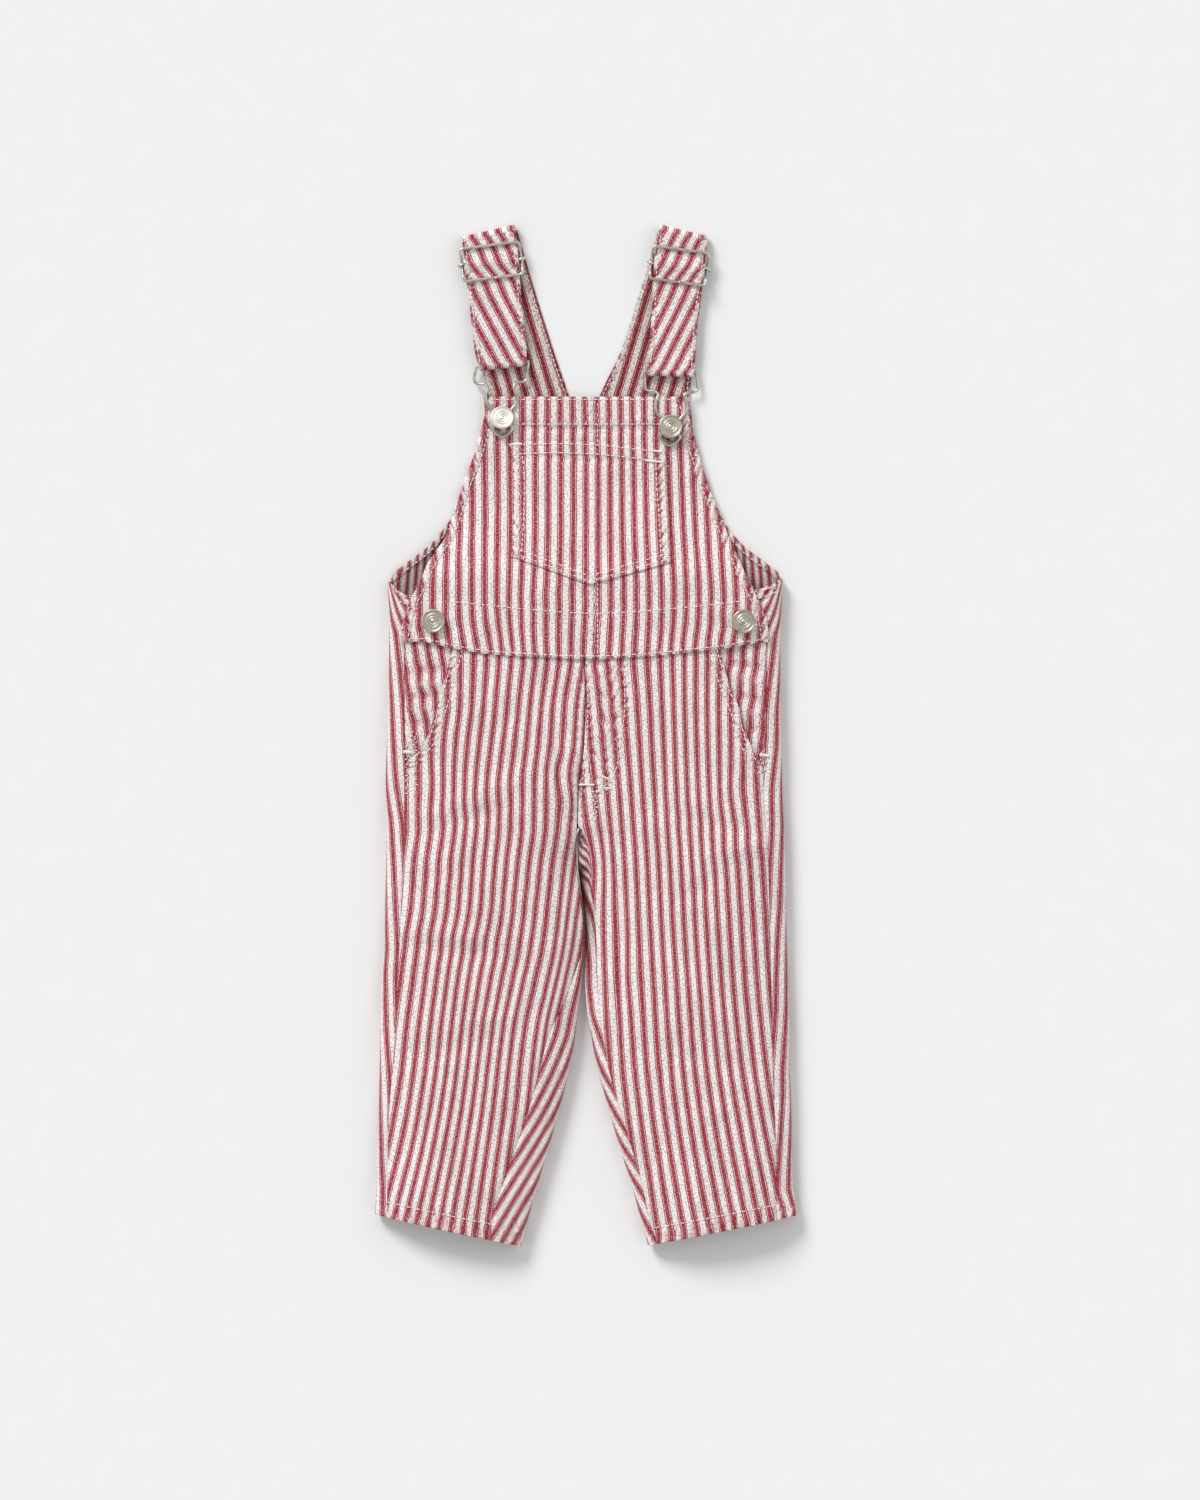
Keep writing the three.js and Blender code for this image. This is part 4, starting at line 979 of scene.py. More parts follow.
def back_path(place):
    """The back's line across a row: outer seam, side fold, floor, and in a leg the inner fold to the inseam."""
    radius = SIDE_FOLD_RADIUS
    stub = mix(place.outer_seam - SEAM_HALF_GAP, radius, stops(STUB_COLUMNS, 12)[:-1])
    x, y = 0 * place.outer, place.level
    stub_x = place.outer + place.direction * stub
    qs = [stub]
    zs = [top_height(place, stub, stub_x, y + x)]
    angle = np.radians(np.linspace(90, -90, FOLD_COLUMNS + 1))
    qs.append(radius - radius * np.cos(angle) + x)
    zs.append(radius + radius * np.sin(angle) + x)
    reach = smoothstep(place.leg, 0, 0.1)
    floor_end = place.width - mix(CENTRE_STRIP, place.fold, reach)
    floor = mix(radius, floor_end, np.linspace(0, 1, FLOOR_COLUMNS + 1)[1:])
    qs.append(floor)
    zs.append(0 * floor)
    steps = np.linspace(0, 1, FOLD_COLUMNS + STUB_COLUMNS + 5)[1:]
    flat_q = mix(floor_end, place.width + 0.12, steps)
    past = (place.inner_seam + SEAM_HALF_GAP - floor_end) / np.maximum(place.fold, 1e-6)
    turned = np.arccos(np.clip(past, 0, 0.999)) * 0.9
    turn = mix(-math.pi / 2, turned, np.linspace(0, 1, FOLD_COLUMNS + 1)[1:])
    fold_q = floor_end + place.fold * np.cos(turn)
    fold_z = place.fold + place.fold * np.sin(turn)
    end = mix(fold_q[:, -1:], place.inner_seam + SEAM_HALF_GAP, stops(STUB_COLUMNS, 10)[1:])
    end_z = top_height(place, end, place.outer + place.direction * end, y + x)
    lies_low = place.valley * smoothstep(end - place.inner_seam, 0.1, 1.4)
    end_z = mix(end_z, np.minimum(end_z, 2 * place.fold), lies_low)
    leg_q = np.concatenate([fold_q, end], axis=1)
    leg_z = np.concatenate([fold_z, end_z], axis=1)
    qs.append(mix(flat_q, leg_q, reach))
    zs.append(mix(0, leg_z, reach))
    return np.concatenate(qs, axis=1), np.concatenate(zs, axis=1)


FLARE_OUTER = 0.10
FLARE_INNER = -0.03
FLARE_MIDDLE_Y = -190
FLARE_TOP_Y = -40
UPPER_FLARE = 0.13
TAB_LEAN = 0.4
WEDGE_LEAN = 0.9
VALLEY_LEAN = 0.15


def back_stripes(side, x, y, z):
    """Stripes run up the back and go on round its folds, which don't follow the grain."""
    steps = np.hypot(np.diff(x, axis=1), np.diff(z, axis=1))
    run = np.concatenate([np.zeros((len(x), 1)), np.cumsum(steps, axis=1)], axis=1)
    middle = STUB_COLUMNS + FOLD_COLUMNS + FLOOR_COLUMNS // 2
    out = np.abs(x[:, middle:middle + 1]) + run[:, middle:middle + 1] - run
    flare = mix(FLARE_INNER, FLARE_OUTER, smoothstep(out, 20, 135))
    low = np.minimum(y, FLARE_TOP_Y)
    shift = flare * (low - FLARE_MIDDLE_Y) + UPPER_FLARE * smoothstep(out, 60, 130) * (y - low)
    columns = np.arange(x.shape[1])[None, :]
    inner = smoothstep(columns, STUB_COLUMNS + FOLD_COLUMNS + FLOOR_COLUMNS + 6, STUB_COLUMNS + 2 * FOLD_COLUMNS
                       + FLOOR_COLUMNS + 2)
    lean = WEDGE_LEAN * np.maximum(y + 92, 0) + VALLEY_LEAN * np.maximum(y + 150, 0)
    shift = shift - lean * inner * (1 - smoothstep(y, -62, -50)) * (side is RIGHT)
    tab = np.maximum(0, y - 64) * (1 - smoothstep(columns, STUB_COLUMNS, STUB_COLUMNS + FOLD_COLUMNS))
    shift = shift + TAB_LEAN * tab
    return -side.direction * (out + shift) / PERIOD + side.back_phase


LEFT.back_phase = 0.35
RIGHT.back_phase = 0.1
LEFT.tab_top = Table("y", [(0, 95.4), (4, 92.6), (8, 88.8), (12, 87.2), (20, 86.6), (50, 88)])
RIGHT.tab_top = Table("y", [(0, 96.6), (5, 94.4), (10, 92.2), (15, 90.8), (22, 90.2), (50, 90)])


def back_piece(side):
    lower = mix(HEM_Y, WAIST_Y + 0.5, stops(BACK_ROWS, WAIST_Y - HEM_Y)[:-3])
    upper = np.linspace(0, 1, UPPER_ROWS)[:, None]
    level = np.concatenate([lower[:, None], mix(WAIST_Y + 0.5, SIDE_TOP_Y, upper)])
    place = section(side, level)
    q, z = back_path(place)
    x = place.outer + side.direction * q
    y = level + place.tilt * (1 - 2 * q / place.width)
    on_top = smoothstep(z[-UPPER_ROWS:], 0, 2 * SIDE_FOLD_RADIUS)
    edge = mix(BACK_ARMHOLE("y", -np.abs(x[-UPPER_ROWS:])), side.tab_top("y", q[-UPPER_ROWS:]), on_top)
    y[-UPPER_ROWS:] = mix(WAIST_Y + 0.5, edge, upper)
    columns = np.arange(z.shape[1])[None, :]
    on_floor = (columns > STUB_COLUMNS + FOLD_COLUMNS + 2) & (columns < STUB_COLUMNS + FOLD_COLUMNS + FLOOR_COLUMNS + 2)
    fade = smoothstep(q, SIDE_FOLD_RADIUS, 16) * (1 - smoothstep(q, place.width - 12, place.width - 4))
    z = z + np.where(on_floor, crease_height(UNDERSIDE_CREASES, x, y) * fade * (1 - smoothstep(level, 70, 84)), 0)
    hem = level - HEM_Y
    hem_share = 1 - smoothstep(hem, HEM_STITCH - 1, HEM_STITCH + 0.6)
    waves = ripple(q, hem, 6.3, 0.9) * hem_share
    stub = columns < STUB_COLUMNS + 1
    dip = seam_dip(place.outer_seam - q) * (1 - smoothstep(level, 56, 60))
    z = z - np.where(stub, dip, 0)
    inner_stub = columns > STUB_COLUMNS + FOLD_COLUMNS * 2 + FLOOR_COLUMNS + 2
    z = z - np.where(inner_stub, seam_dip(q - place.inner_seam) * place.leg, 0)
    to_edge = np.full(x.shape, 99.0)
    to_edge[-UPPER_ROWS:] = edge - y[-UPPER_ROWS:]
    tab = np.where(stub, 1 - smoothstep(to_edge, 5.6, 7), 0)
    tab_waves = ripple(q, to_edge, 5.0, 0.9) * np.where(stub, 1 - smoothstep(to_edge, 5, 10), 0)
    z = z + 0.5 * tab + 0.5 * tab_waves
    z = np.maximum(z, 0)
    open_arm = smoothstep(np.abs(x), 80, 94) * (1 - smoothstep(np.abs(x), 116, 122)) * on_floor
    z = z + 3.4 * open_arm * (1 - smoothstep(to_edge, 0, 22))
    if side is LEFT:
        y = y - 1.3 * hem_share * np.where(on_floor, np.exp(-(((x + 90) / 26) ** 2)), 0)
    outer = np.stack([x, y, z], axis=-1)
    normals = grid_normals(outer)
    middle = STUB_COLUMNS + FOLD_COLUMNS + FLOOR_COLUMNS // 2
    normals *= -np.sign(normals[5, middle, 2])
    armhole = np.minimum(1, np.maximum(0, 1 - (edge - y[-UPPER_ROWS:]) / 6.0))
    wear = 0.5 * waves + tab_waves
    roping = ripple(x[-UPPER_ROWS:], y[-UPPER_ROWS:], 5.6) * smoothstep(armhole, 0, 0.3)
    wear[-UPPER_ROWS:] += roping
    wall = mix(SHEET, HEM_SHEET, hem_share) + 0 * x
    wall[-UPPER_ROWS:] += smoothstep(armhole, 0, 0.3) + 0.4 * roping
    # Painted shade for the dark valley between the legs below the crotch: the back's edge turned up past the inseam,
    # darker the further past the seam
    beside = smoothstep(columns, STUB_COLUMNS + FOLD_COLUMNS + FLOOR_COLUMNS, middle + FLOOR_COLUMNS // 2 + 8)
    deep = mix(0.3, 1, smoothstep(q - place.inner_seam, 0.5, 6))
    painted_valley_shade = beside * deep * smoothstep(-y, 77, 84) * (1 - smoothstep(-y, 100, 176))
    # The inside's painted shade is eased where the open armholes are lit
    lit = 1 - 0.7 * open_arm * (1 - smoothstep(to_edge, 10, 34))
    return cloth_piece(f"back_{side.name}", outer, normals, wall, back_stripes(side, x, y, z), y,
                       np.clip(wear, -1, 1), COTTON,
                       painted_valley_shade=painted_valley_shade, inside=lit)


FACING_ROWS = 44
FACING_COLUMNS = 22
FACING_UNDERLAP = 6
LEFT.facing_slope = 0.15
RIGHT.facing_slope = -0.09
LEFT.facing_bar = (-98.8, 54.6)
RIGHT.facing_bar = (98.2, 55.0)


def facing_piece(side):
    level = mix(-30, WAIST_Y, stops(FACING_ROWS, WAIST_Y + 30))[:, None]
    place = section(side, level)
    seam = place.outer_seam + SEAM_HALF_GAP
    slant = front_start(side, place, level)
    share = stops(FACING_COLUMNS, 30)[None, :]
    q = mix(seam, slant + FACING_UNDERLAP, share)
    x = place.outer + side.direction * q
    y = level + 0 * q
    drop = mix(0.35, 1.75, smoothstep(q, seam, np.maximum(slant - 1, seam + 0.5)))
    drop = np.maximum(drop, 1.75 * (1 - smoothstep(level, side.slant_end - 1, side.slant_end + 5)))
    pucker, wear = seam_puckers(x, y, [(side_seam_line(side), 0.5, 5, 5.6, 0.25)])
    shown = 1 - smoothstep(q, slant - 3, slant)
    creases = crease_height(FACING_CREASES, x, y) * shown
    # Painted light and shade: the facing's creases are paler on their crests and darker in their troughs
    wear = np.clip(wear + 0.9 * creases, -1, 1)
    z = top_height(place, q, x, y) - drop - seam_dip(q - seam) + pucker * shown + creases
    outer = np.stack([x, y, z], axis=-1)
    normals = grid_normals(outer)
    normals *= np.sign(normals[..., 2:3])
    bar_x, bar_y = side.facing_bar
    stripes = (x - bar_x + side.facing_slope * (y - bar_y)) / 8.1
    return cloth_piece(f"pocket_facing_{side.name}", outer, normals, SHEET, stripes, y, wear, COTTON)


BIB_ROWS = 118
BIB_COLUMNS = 82
BIB_HEM_HEIGHT = 16


def bib_piece(side):
    share = stops(BIB_ROWS, BIB_TOP_Y - BIB_SIDE_Y)[:, None]
    level = mix(BIB_SIDE_Y, BIB_TOP_Y, share)
    seam = BIB_SEAM_X - side.direction * SEAM_HALF_GAP
    x = mix(BIB_SIDES(side.name, level), seam, stops(BIB_COLUMNS, 100)[None, :])
    y = level + (BIB_LOWER_EDGE("y", x) - BIB_SIDE_Y) * (1 - share) ** 2
    z = bib_top(x, y)
    hem = BIB_TOP_Y - level
    in_hem = 1 - smoothstep(hem, BIB_HEM_HEIGHT - 0.6, BIB_HEM_HEIGHT + 1.6)
    pucker, wear = seam_puckers(x, y, BIB_PUCKERS)
    from_armhole = np.abs(x - BIB_SIDES(side.name, level))
    from_seam = np.abs(x - BIB_SEAM_X)
    from_lower = level - BIB_SIDE_Y
    z = z + pucker + 0.45 * in_hem
    z = z + 0.5 * (1 - smoothstep(from_armhole, 4.2, 5.6)) - 0.7 * seam_dip(from_seam)
    z = z - 0.45 * np.exp(-(((from_armhole - 5.2) / 0.9) ** 2))
    for distance in (from_armhole, from_lower, hem):
        z = z - 0.4 * np.exp(-((distance / 0.5) ** 2))
    outer = np.stack([x, y, z], axis=-1)
    normals = grid_normals(outer)
    normals *= np.sign(normals[..., 2:3])
    wall = mix(SHEET, HEM_SHEET, np.maximum(in_hem, 1 - smoothstep(from_armhole, 4.2, 6.2)))
    return cloth_piece(f"bib_{side.name}", outer, normals, wall, bib_stripes(x, y), y, wear, COTTON)


POCKET_ROWS = 66
POCKET_COLUMNS = 74


def pocket_piece():
    share = stops(POCKET_ROWS, 78)[:, None]
    across = stops(POCKET_COLUMNS, 97)[None, :]
    left, right = POCKET_SIDES("left", share), POCKET_SIDES("right", share)
    x = mix(left, right, across)
    lower = np.interp(x, *zip(POCKET_LEFT_TIP, POCKET_MIDDLE_TIP, POCKET_RIGHT_TIP))
    upper = POCKET_TOP("y", x)
    y = mix(lower, upper, share)
    pucker, wear = seam_puckers(x, y, POCKET_PUCKERS)
    edges = (x - left, right - x, (y - lower) * 0.95, upper - y)
    z = pocket_top(x, y) + pucker
    hem = upper - y
    z = z + 0.3 * (1 - smoothstep(hem, 7.0, 8.6)) + 0.15 * (1 - smoothstep(edges[2], 5, 6.5))
    for distance in edges:
        z = z - 0.35 * np.exp(-((distance / 0.6) ** 2))
    outer = np.stack([x, y, z], axis=-1)
    normals = grid_normals(outer)
    normals *= np.sign(normals[..., 2:3])
    return cloth_piece("bib_pocket", outer, normals, SHEET, bib_stripes(x, y), y, wear, COTTON)


# Straps
BACK_LAYER_Z = CLOTH / 2
RETURN_LAYER_Z = 2.1
FRONT_LAYER_Z = 5.7
BAR_Z = 3.9
OVER_BAR_RISE = 1.5
SLIDER_Z = 7.5
SLIDER_HALF_LENGTH = 10.2
STRAP_LENGTH = 86
STRAP_COLUMNS = 30
STATION_REACH = 0.04
EDGES = "outer_x outer_y inner_x inner_y"
LEFT.strap = SimpleNamespace(
    slider=0.225,
    back=Table(EDGES, [
        (0, -68.9, 178.3, -0.9, 178.3),
        (0.25, -62.3, 210.6, -10.5, 210.6),
        (0.45, -66.8, 240, -20.5, 240),
        (0.68, -72.0, 274, -31.2, 274),
        (1, -77.7, 311.2, -44.2, 318.8),
    ]),
    front=Table(EDGES, [
        (0, -77.7, 311.2, -44.2, 318.8),
        (0.3, -75.2, 287.0, -41.8, 290.5),
        (0.6, -72.2, 262.0, -39.8, 264.5),
        (0.88, -69.4, 238.0, -37.2, 241.0),
        (1, -66.6, 227.4, -37.4, 230.4),
    ]),
    back_lean=16.5, back_bar=(-13.4, 214.5), front_lean=28.0, front_bar=(-61.4, 259.4), front_pitch=8.0,
)
RIGHT.strap = SimpleNamespace(
    slider=0.27,
    back=Table(EDGES, [
        (0, 69.2, 178.3, -0.6, 178.3),
        (0.25, 64.8, 210.6, 8.6, 212),
        (0.45, 68.0, 240, 21.0, 238),
        (0.68, 71.8, 274, 32.8, 274),
        (1, 76.0, 311.6, 45.9, 318.8),
    ]),
    front=Table(EDGES, [
        (0, 76.0, 311.6, 45.9, 318.8),
        (0.3, 73.6, 288.0, 42.2, 292.0),
        (0.6, 69.6, 260.0, 40.8, 262.0),
        (0.88, 68.0, 235.0, 38.8, 236.5),
        (1, 67.2, 223.6, 37.9, 224.3),
    ]),
    back_lean=-16.5, back_bar=(20.0, 214.5), front_lean=-26.6, front_bar=(51.1, 253.1), front_pitch=7.55,
)
BACK_PITCH = 8.0


def strap_station(rows, share):
    """A strap's edges at a share of its length, and the direction square to the line across it."""
    share = np.atleast_1d(np.asarray(share, float))
    outer = np.stack([rows("outer_x", share), rows("outer_y", share)], axis=1)
    inner = np.stack([rows("inner_x", share), rows("inner_y", share)], axis=1)
    after = np.minimum(1, share + STATION_REACH / 2)
    middle = [(rows("outer_" + axis, s) + rows("inner_" + axis, s)) / 2
              for s in (after, after - STATION_REACH) for axis in "xy"]
    along = np.stack([middle[0] - middle[2], middle[1] - middle[3]], axis=1)
    across = inner - outer
    across /= np.linalg.norm(across, axis=1, keepdims=True)
    square = np.stack([-across[:, 1], across[:, 0]], axis=1)
    square *= np.sign((square * along).sum(axis=1, keepdims=True))
    return outer, inner, across, square


def over_bar(share, bar_share):
    away = (share - bar_share) * STRAP_LENGTH / (SLIDER_HALF_LENGTH * 0.7)
    return OVER_BAR_RISE * np.maximum(0, 1 - away ** 2) ** 2


def strap_route(shape):
    """Stations along the strap: edges, square direction, shift and height of the middle, and which way is out."""
    stations = []

    def flat(rows, shares, heights, up):
        outer, inner, _, square = strap_station(rows, shares)
        for i in range(len(shares)):
            stations.append((outer[i], inner[i], square[i], 0.0, heights[i], 0.0, up, 0.0))

    def bend(rows, share, forward, shift, centre_z, radius, angles, arc_start):
        outer, inner, _, square = strap_station(rows, share)
        for angle in np.radians(angles):
            turned = abs(angle - math.radians(angles[0]))
            stations.append((outer[0], inner[0], square[0] * forward, shift + radius * math.cos(angle),
                             centre_z + radius * math.sin(angle), math.cos(angle), math.sin(angle),
                             arc_start + radius * turned))

    shoulder_z = (BACK_LAYER_Z + FRONT_LAYER_Z) / 2
    shoulder_radius = (FRONT_LAYER_Z - BACK_LAYER_Z) / 2
    hook_radius = (FRONT_LAYER_Z - RETURN_LAYER_Z) / 2
    back_shares = np.linspace(0, 0.955, 78)
    flat(shape.back, back_shares, BACK_LAYER_Z + 0 * back_shares, -1)
    bend(shape.front, 0.0, -1, -shoulder_radius - CLOTH / 2, shoulder_z, shoulder_radius,
         np.linspace(-90, 90, 15), 0.0)
    front_shares = np.linspace(0.045, 0.955, 62)
    heights = FRONT_LAYER_Z + over_bar(front_shares, shape.slider)
    heights = heights + 0.25 * np.sin(front_shares * 19) * smoothstep(front_shares, 0.36, 0.5)
    flat(shape.front, front_shares, heights, 1)
    bend(shape.front, 1.0, 1, -hook_radius - CLOTH / 2, BAR_Z, hook_radius, np.linspace(90, -90, 13), 0.0)
    return_shares = np.linspace(0.94, 0.33, 34)
    flat(shape.front, return_shares, RETURN_LAYER_Z + 0 * return_shares, -1)
    bend(shape.front, shape.slider, -1, 0.0, BAR_Z, hook_radius, np.linspace(-90, 90, 11), 0.0)
    return stations


def strap_stripes(x, y, bar, lean, pitch):
    turn = math.radians(lean)
    return ((x - bar[0]) * math.cos(turn) + (y - bar[1]) * math.sin(turn)) / pitch


def strap_piece(side):
    shape = side.strap
    stations = strap_route(shape)
    share = stops(STRAP_COLUMNS, 34, (0.3, 0.7))
    outer, inner, square = (np.array([s[i] for s in stations])[:, None, :] for i in range(3))
    shift, height, out_shift, out_z, arc = (np.array([s[i] for s in stations])[:, None] for i in range(3, 8))
    base = mix(outer, inner, share[None, :, None])
    width = np.linalg.norm(inner - outer, axis=2)
    from_edge = np.minimum(share, 1 - share)[None, :] * width
    roll = 0.35 * np.exp(-((from_edge / 0.6) ** 2))
    along = np.arange(len(stations))[:, None] * 1.4
    waves = ripple(along, from_edge, 4.6, 0.9) * (1 - smoothstep(from_edge, 3.2, 4.8))
    half = CLOTH / 2 - roll + 0.42 * waves
    faces = []
    for reach in (half, -half):
        faces.append(np.concatenate([
            base + square * (shift + out_shift * reach)[..., None],
            (height + out_z * reach)[..., None],
        ], axis=2))
    flat = base + square * arc[..., None]
    back_stripe = strap_stripes(flat[..., 0], flat[..., 1], shape.back_bar, shape.back_lean, BACK_PITCH)
    front_stripe = strap_stripes(base[..., 0], base[..., 1], shape.front_bar, shape.front_lean, shape.front_pitch)
    from_bar = (base[..., 1] - base[..., 1].max() + 30) / 8
    front_stripe = front_stripe + side.direction * 0.3 * from_bar * np.exp(-(from_bar ** 2))
    index = np.arange(len(stations))[:, None]
    stripes = mix(back_stripe, front_stripe, smoothstep(index, 78, 83)) + PUCKER_PULL * waves
    rows, columns = faces[0].shape[:2]
    points = np.concatenate([faces[0].reshape(-1, 3), faces[1].reshape(-1, 3)])
    quad_list = np.concatenate([
        quads(rows, columns),
        quads(rows, columns, rows * columns)[:, ::-1],
        rim(rows, columns),
    ])
    uv = np.stack(np.broadcast_arrays(stripes, base[..., 1] / PERIOD), axis=-1).reshape(-1, 2)
    node = f"strap_{side.name}"
    # Edge puckers: ridges faded by wear, hollows with painted shade
    worn_and_shaded = two_faces(np.clip(1.1 * waves, -1, 1), stripes)
    piece = make_object(f"{node}_cloth", points, quad_list, COTTON, np.tile(uv, (2, 1)), worn_and_shaded)
    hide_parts(node)
    return piece


# Sewing
STITCH = 2.5
STITCH_GAP = 0.75
THREAD_RADIUS = 0.27
STITCH_RINGS = [(-0.5, 0.35, -0.9), (-0.36, 0.9, 0.1), (-0.12, 1.05, 0.5), (0.12, 1.05, 0.5), (0.36, 0.9, 0.1),
                (0.5, 0.35, -0.9)]
STITCH_SIDES = 6


def stitch_shape():
    """One stitch of unit length along X: rings of points, and the quads between them."""
    points = []
    for along, girth, lift in STITCH_RINGS:
        for i in range(STITCH_SIDES):
            angle = 2 * math.pi * i / STITCH_SIDES
            points.append((along, girth * math.cos(angle), girth * math.sin(angle) + lift))
    faces = []
    for ring in range(len(STITCH_RINGS) - 1):
        for i in range(STITCH_SIDES):
            after = (i + 1) % STITCH_SIDES
            a, b = ring * STITCH_SIDES, (ring + 1) * STITCH_SIDES
            faces.append((a + i, a + after, b + after, b + i))
    last = (len(STITCH_RINGS) - 1) * STITCH_SIDES
    for first in (0, last):
        faces.append((first, first + 1, first + 2, first + 3) if first else (3, 2, 1, 0))
        faces.append((first, first + 3, first + 4, first + 5) if first else (5, 4, 3, 0))
    return np.array(points), np.array(faces)


STITCH_POINTS, STITCH_FACES = stitch_shape()


def lay_stitches(starts, ends, up):
    """Points and faces of stitches between pairs of places; up is the side of the cloth that they lie on."""
    along = ends - starts
    length = np.linalg.norm(along, axis=1, keepdims=True)
    along = along / length
    across = np.cross(up, along)
    across /= np.linalg.norm(across, axis=1, keepdims=True)
    normal = np.cross(along, across)
    middle = (starts + ends) / 2
    x, y, z = STITCH_POINTS.T
    points = (middle[:, None, :] + along[:, None, :] * (x[None, :, None] * length[:, :, None])
              + across[:, None, :] * (y * THREAD_RADIUS)[None, :, None]
              + normal[:, None, :] * (z * THREAD_RADIUS)[None, :, None])
    shift = (np.arange(len(starts)) * len(STITCH_POINTS))[:, None, None]
    return points.reshape(-1, 3), (STITCH_FACES[None] + shift).reshape(-1, 4)


class Sewing:
    """All the stitches of one piece, joined into one mesh."""

    def __init__(self, name):
        self.name = name
        self.starts = []
        self.ends = []
        self.ups = []

    def run(self, line, height, stitch=STITCH, gap=STITCH_GAP, up=(0, 0, 1)):
        """Stitches along a line of places, on the surface whose height is given."""
        line = np.asarray(line, float)
        z = height(line[:, 0], line[:, 1])
        points = np.concatenate([line, np.asarray(z)[:, None]], axis=1)
        self.follow(points, stitch, gap, up)

    def follow(self, points, stitch=STITCH, gap=STITCH_GAP, up=(0, 0, 1)):
        steps = np.linalg.norm(np.diff(points, axis=0), axis=1)
        run = np.concatenate([[0], np.cumsum(steps)])
        pitch = stitch + gap
        count = max(1, int(run[-1] / pitch))
        uneven = 0.12 * np.sin(np.arange(count) * 2.3) * gap
        start = np.arange(count) * pitch + gap / 2 + uneven
        for i, s in enumerate(start):
            a = [np.interp(s, run, points[:, k]) for k in range(3)]
            b = [np.interp(min(s + stitch, run[-1]), run, points[:, k]) for k in range(3)]
            self.starts.append(a)
            self.ends.append(b)
            self.ups.append(up)

    def tack(self, start, end, height, wide=1.9, pitch=0.42):
        """A bar tack: close stitches across a short line."""
        start, end = np.array(start, float), np.array(end, float)
        length = np.linalg.norm(end - start)
        square = np.array([-(end - start)[1], (end - start)[0]]) / length * wide / 2
        for share in np.linspace(0, 1, max(3, int(length / pitch))):
            middle = mix(start, end, share)
            a, b = middle - square, middle + square
            lift = 0.25
            self.starts.append([*a, float(height(a[0], a[1])) + lift])
            self.ends.append([*b, float(height(b[0], b[1])) + lift])
            self.ups.append((0, 0, 1))

    def fray(self, middle, long, wide, count, height):
        """Loose short stitches, as where a pocket's end is sewn over and over."""
        for i in range(count):
            x = middle[0] + wide * math.sin(i * 2.39 + 0.4)
            y = middle[1] + long * (2 * (i + 0.5) / count - 1)
            turn = 0.9 + 0.9 * math.sin(i * 4.1)
            step = np.array([math.sin(turn), math.cos(turn)]) * (0.8 + 0.4 * math.sin(i * 1.3))
            a, b = (x - step[0], y - step[1]), (x + step[0], y + step[1])
            self.starts.append([*a, float(height(a[0], a[1])) + 0.15])
            self.ends.append([*b, float(height(b[0], b[1])) + 0.2])
            self.ups.append((0, 0, 1))

    def make(self):
        points, faces = lay_stitches(np.array(self.starts), np.array(self.ends), np.array(self.ups, float))
        return make_object(f"stitching_{self.name}", points, faces, THREAD)


def between(start, end, count=40):
    return np.stack([np.linspace(start[0], end[0], count), np.linspace(start[1], end[1], count)], axis=1)


def bib_face(x, y):
    return bib_top(np.asarray(x, float), np.asarray(y, float)) + 0.12


def bib_hem_face(x, y):
    return bib_face(x, y) + 0.45


def pocket_face(x, y):
    return pocket_top(np.asarray(x, float), np.asarray(y, float)) + 0.12


def front_face(side):
    return lambda x, y: trousers_top(side, np.asarray(x, float), np.asarray(y, float)) + 0.1


def sew_bib():
    sewing = Sewing("bib")
    for drop in (1.8, 17.2):
        sewing.run(between((-60.5, BIB_TOP_Y - drop), (59.5, BIB_TOP_Y - drop), 90), bib_hem_face)
    sewing.run(FACING_LINE, bib_face)
    inside = LOWER_EDGE[1:-1] + (0, 2.0)
    sewing.run(inside, bib_face)
    sewing.run(between((BIB_SEAM_X + 2.3, 50), (BIB_SEAM_X + 2.3, 209), 90), bib_face)
    for side in SIDES:
        line = armhole_line(side)
        sewing.run(line[1:-2] + (side.direction * 5.0, 0), lambda x, y: bib_face(x, y) + 0.3)
    return sewing.make()


def sew_pocket():
    sewing = Sewing("pocket")
    x = np.linspace(-46.5, 48.5, 60)
    for drop in (1.9, 7.6):
        sewing.run(np.stack([x, POCKET_TOP("y", x) - drop], axis=1), lambda a, b: pocket_face(a, b) + 0.3)
    for rise in (2.0, 5.4):
        corner = [(POCKET_LEFT_TIP[0] + 2, POCKET_LEFT_TIP[1] + rise), (POCKET_MIDDLE_TIP[0], POCKET_MIDDLE_TIP[1] + rise),
                  (POCKET_RIGHT_TIP[0] - 2, POCKET_RIGHT_TIP[1] + rise)]
        sewing.run(between(corner[0], corner[1]), pocket_face)
        sewing.run(between(corner[1], corner[2]), pocket_face)
    for name, inward in (("left", 1), ("right", -1)):
        line = pocket_side_line(name)
        for distance in (1.8, 6.4):
            sewing.run(line[1:-1] + (inward * distance, 0), pocket_face)
    for start, end in (((-47.6, 181.2), (-40.2, 181.6)), ((40.6, 177.4), (47.2, 176.9)), ((37, 171.2), (48, 170.2))):
        sewing.tack(start, end, lambda a, b: pocket_face(a, b) + 0.3, wide=1.3)
    return sewing.make()


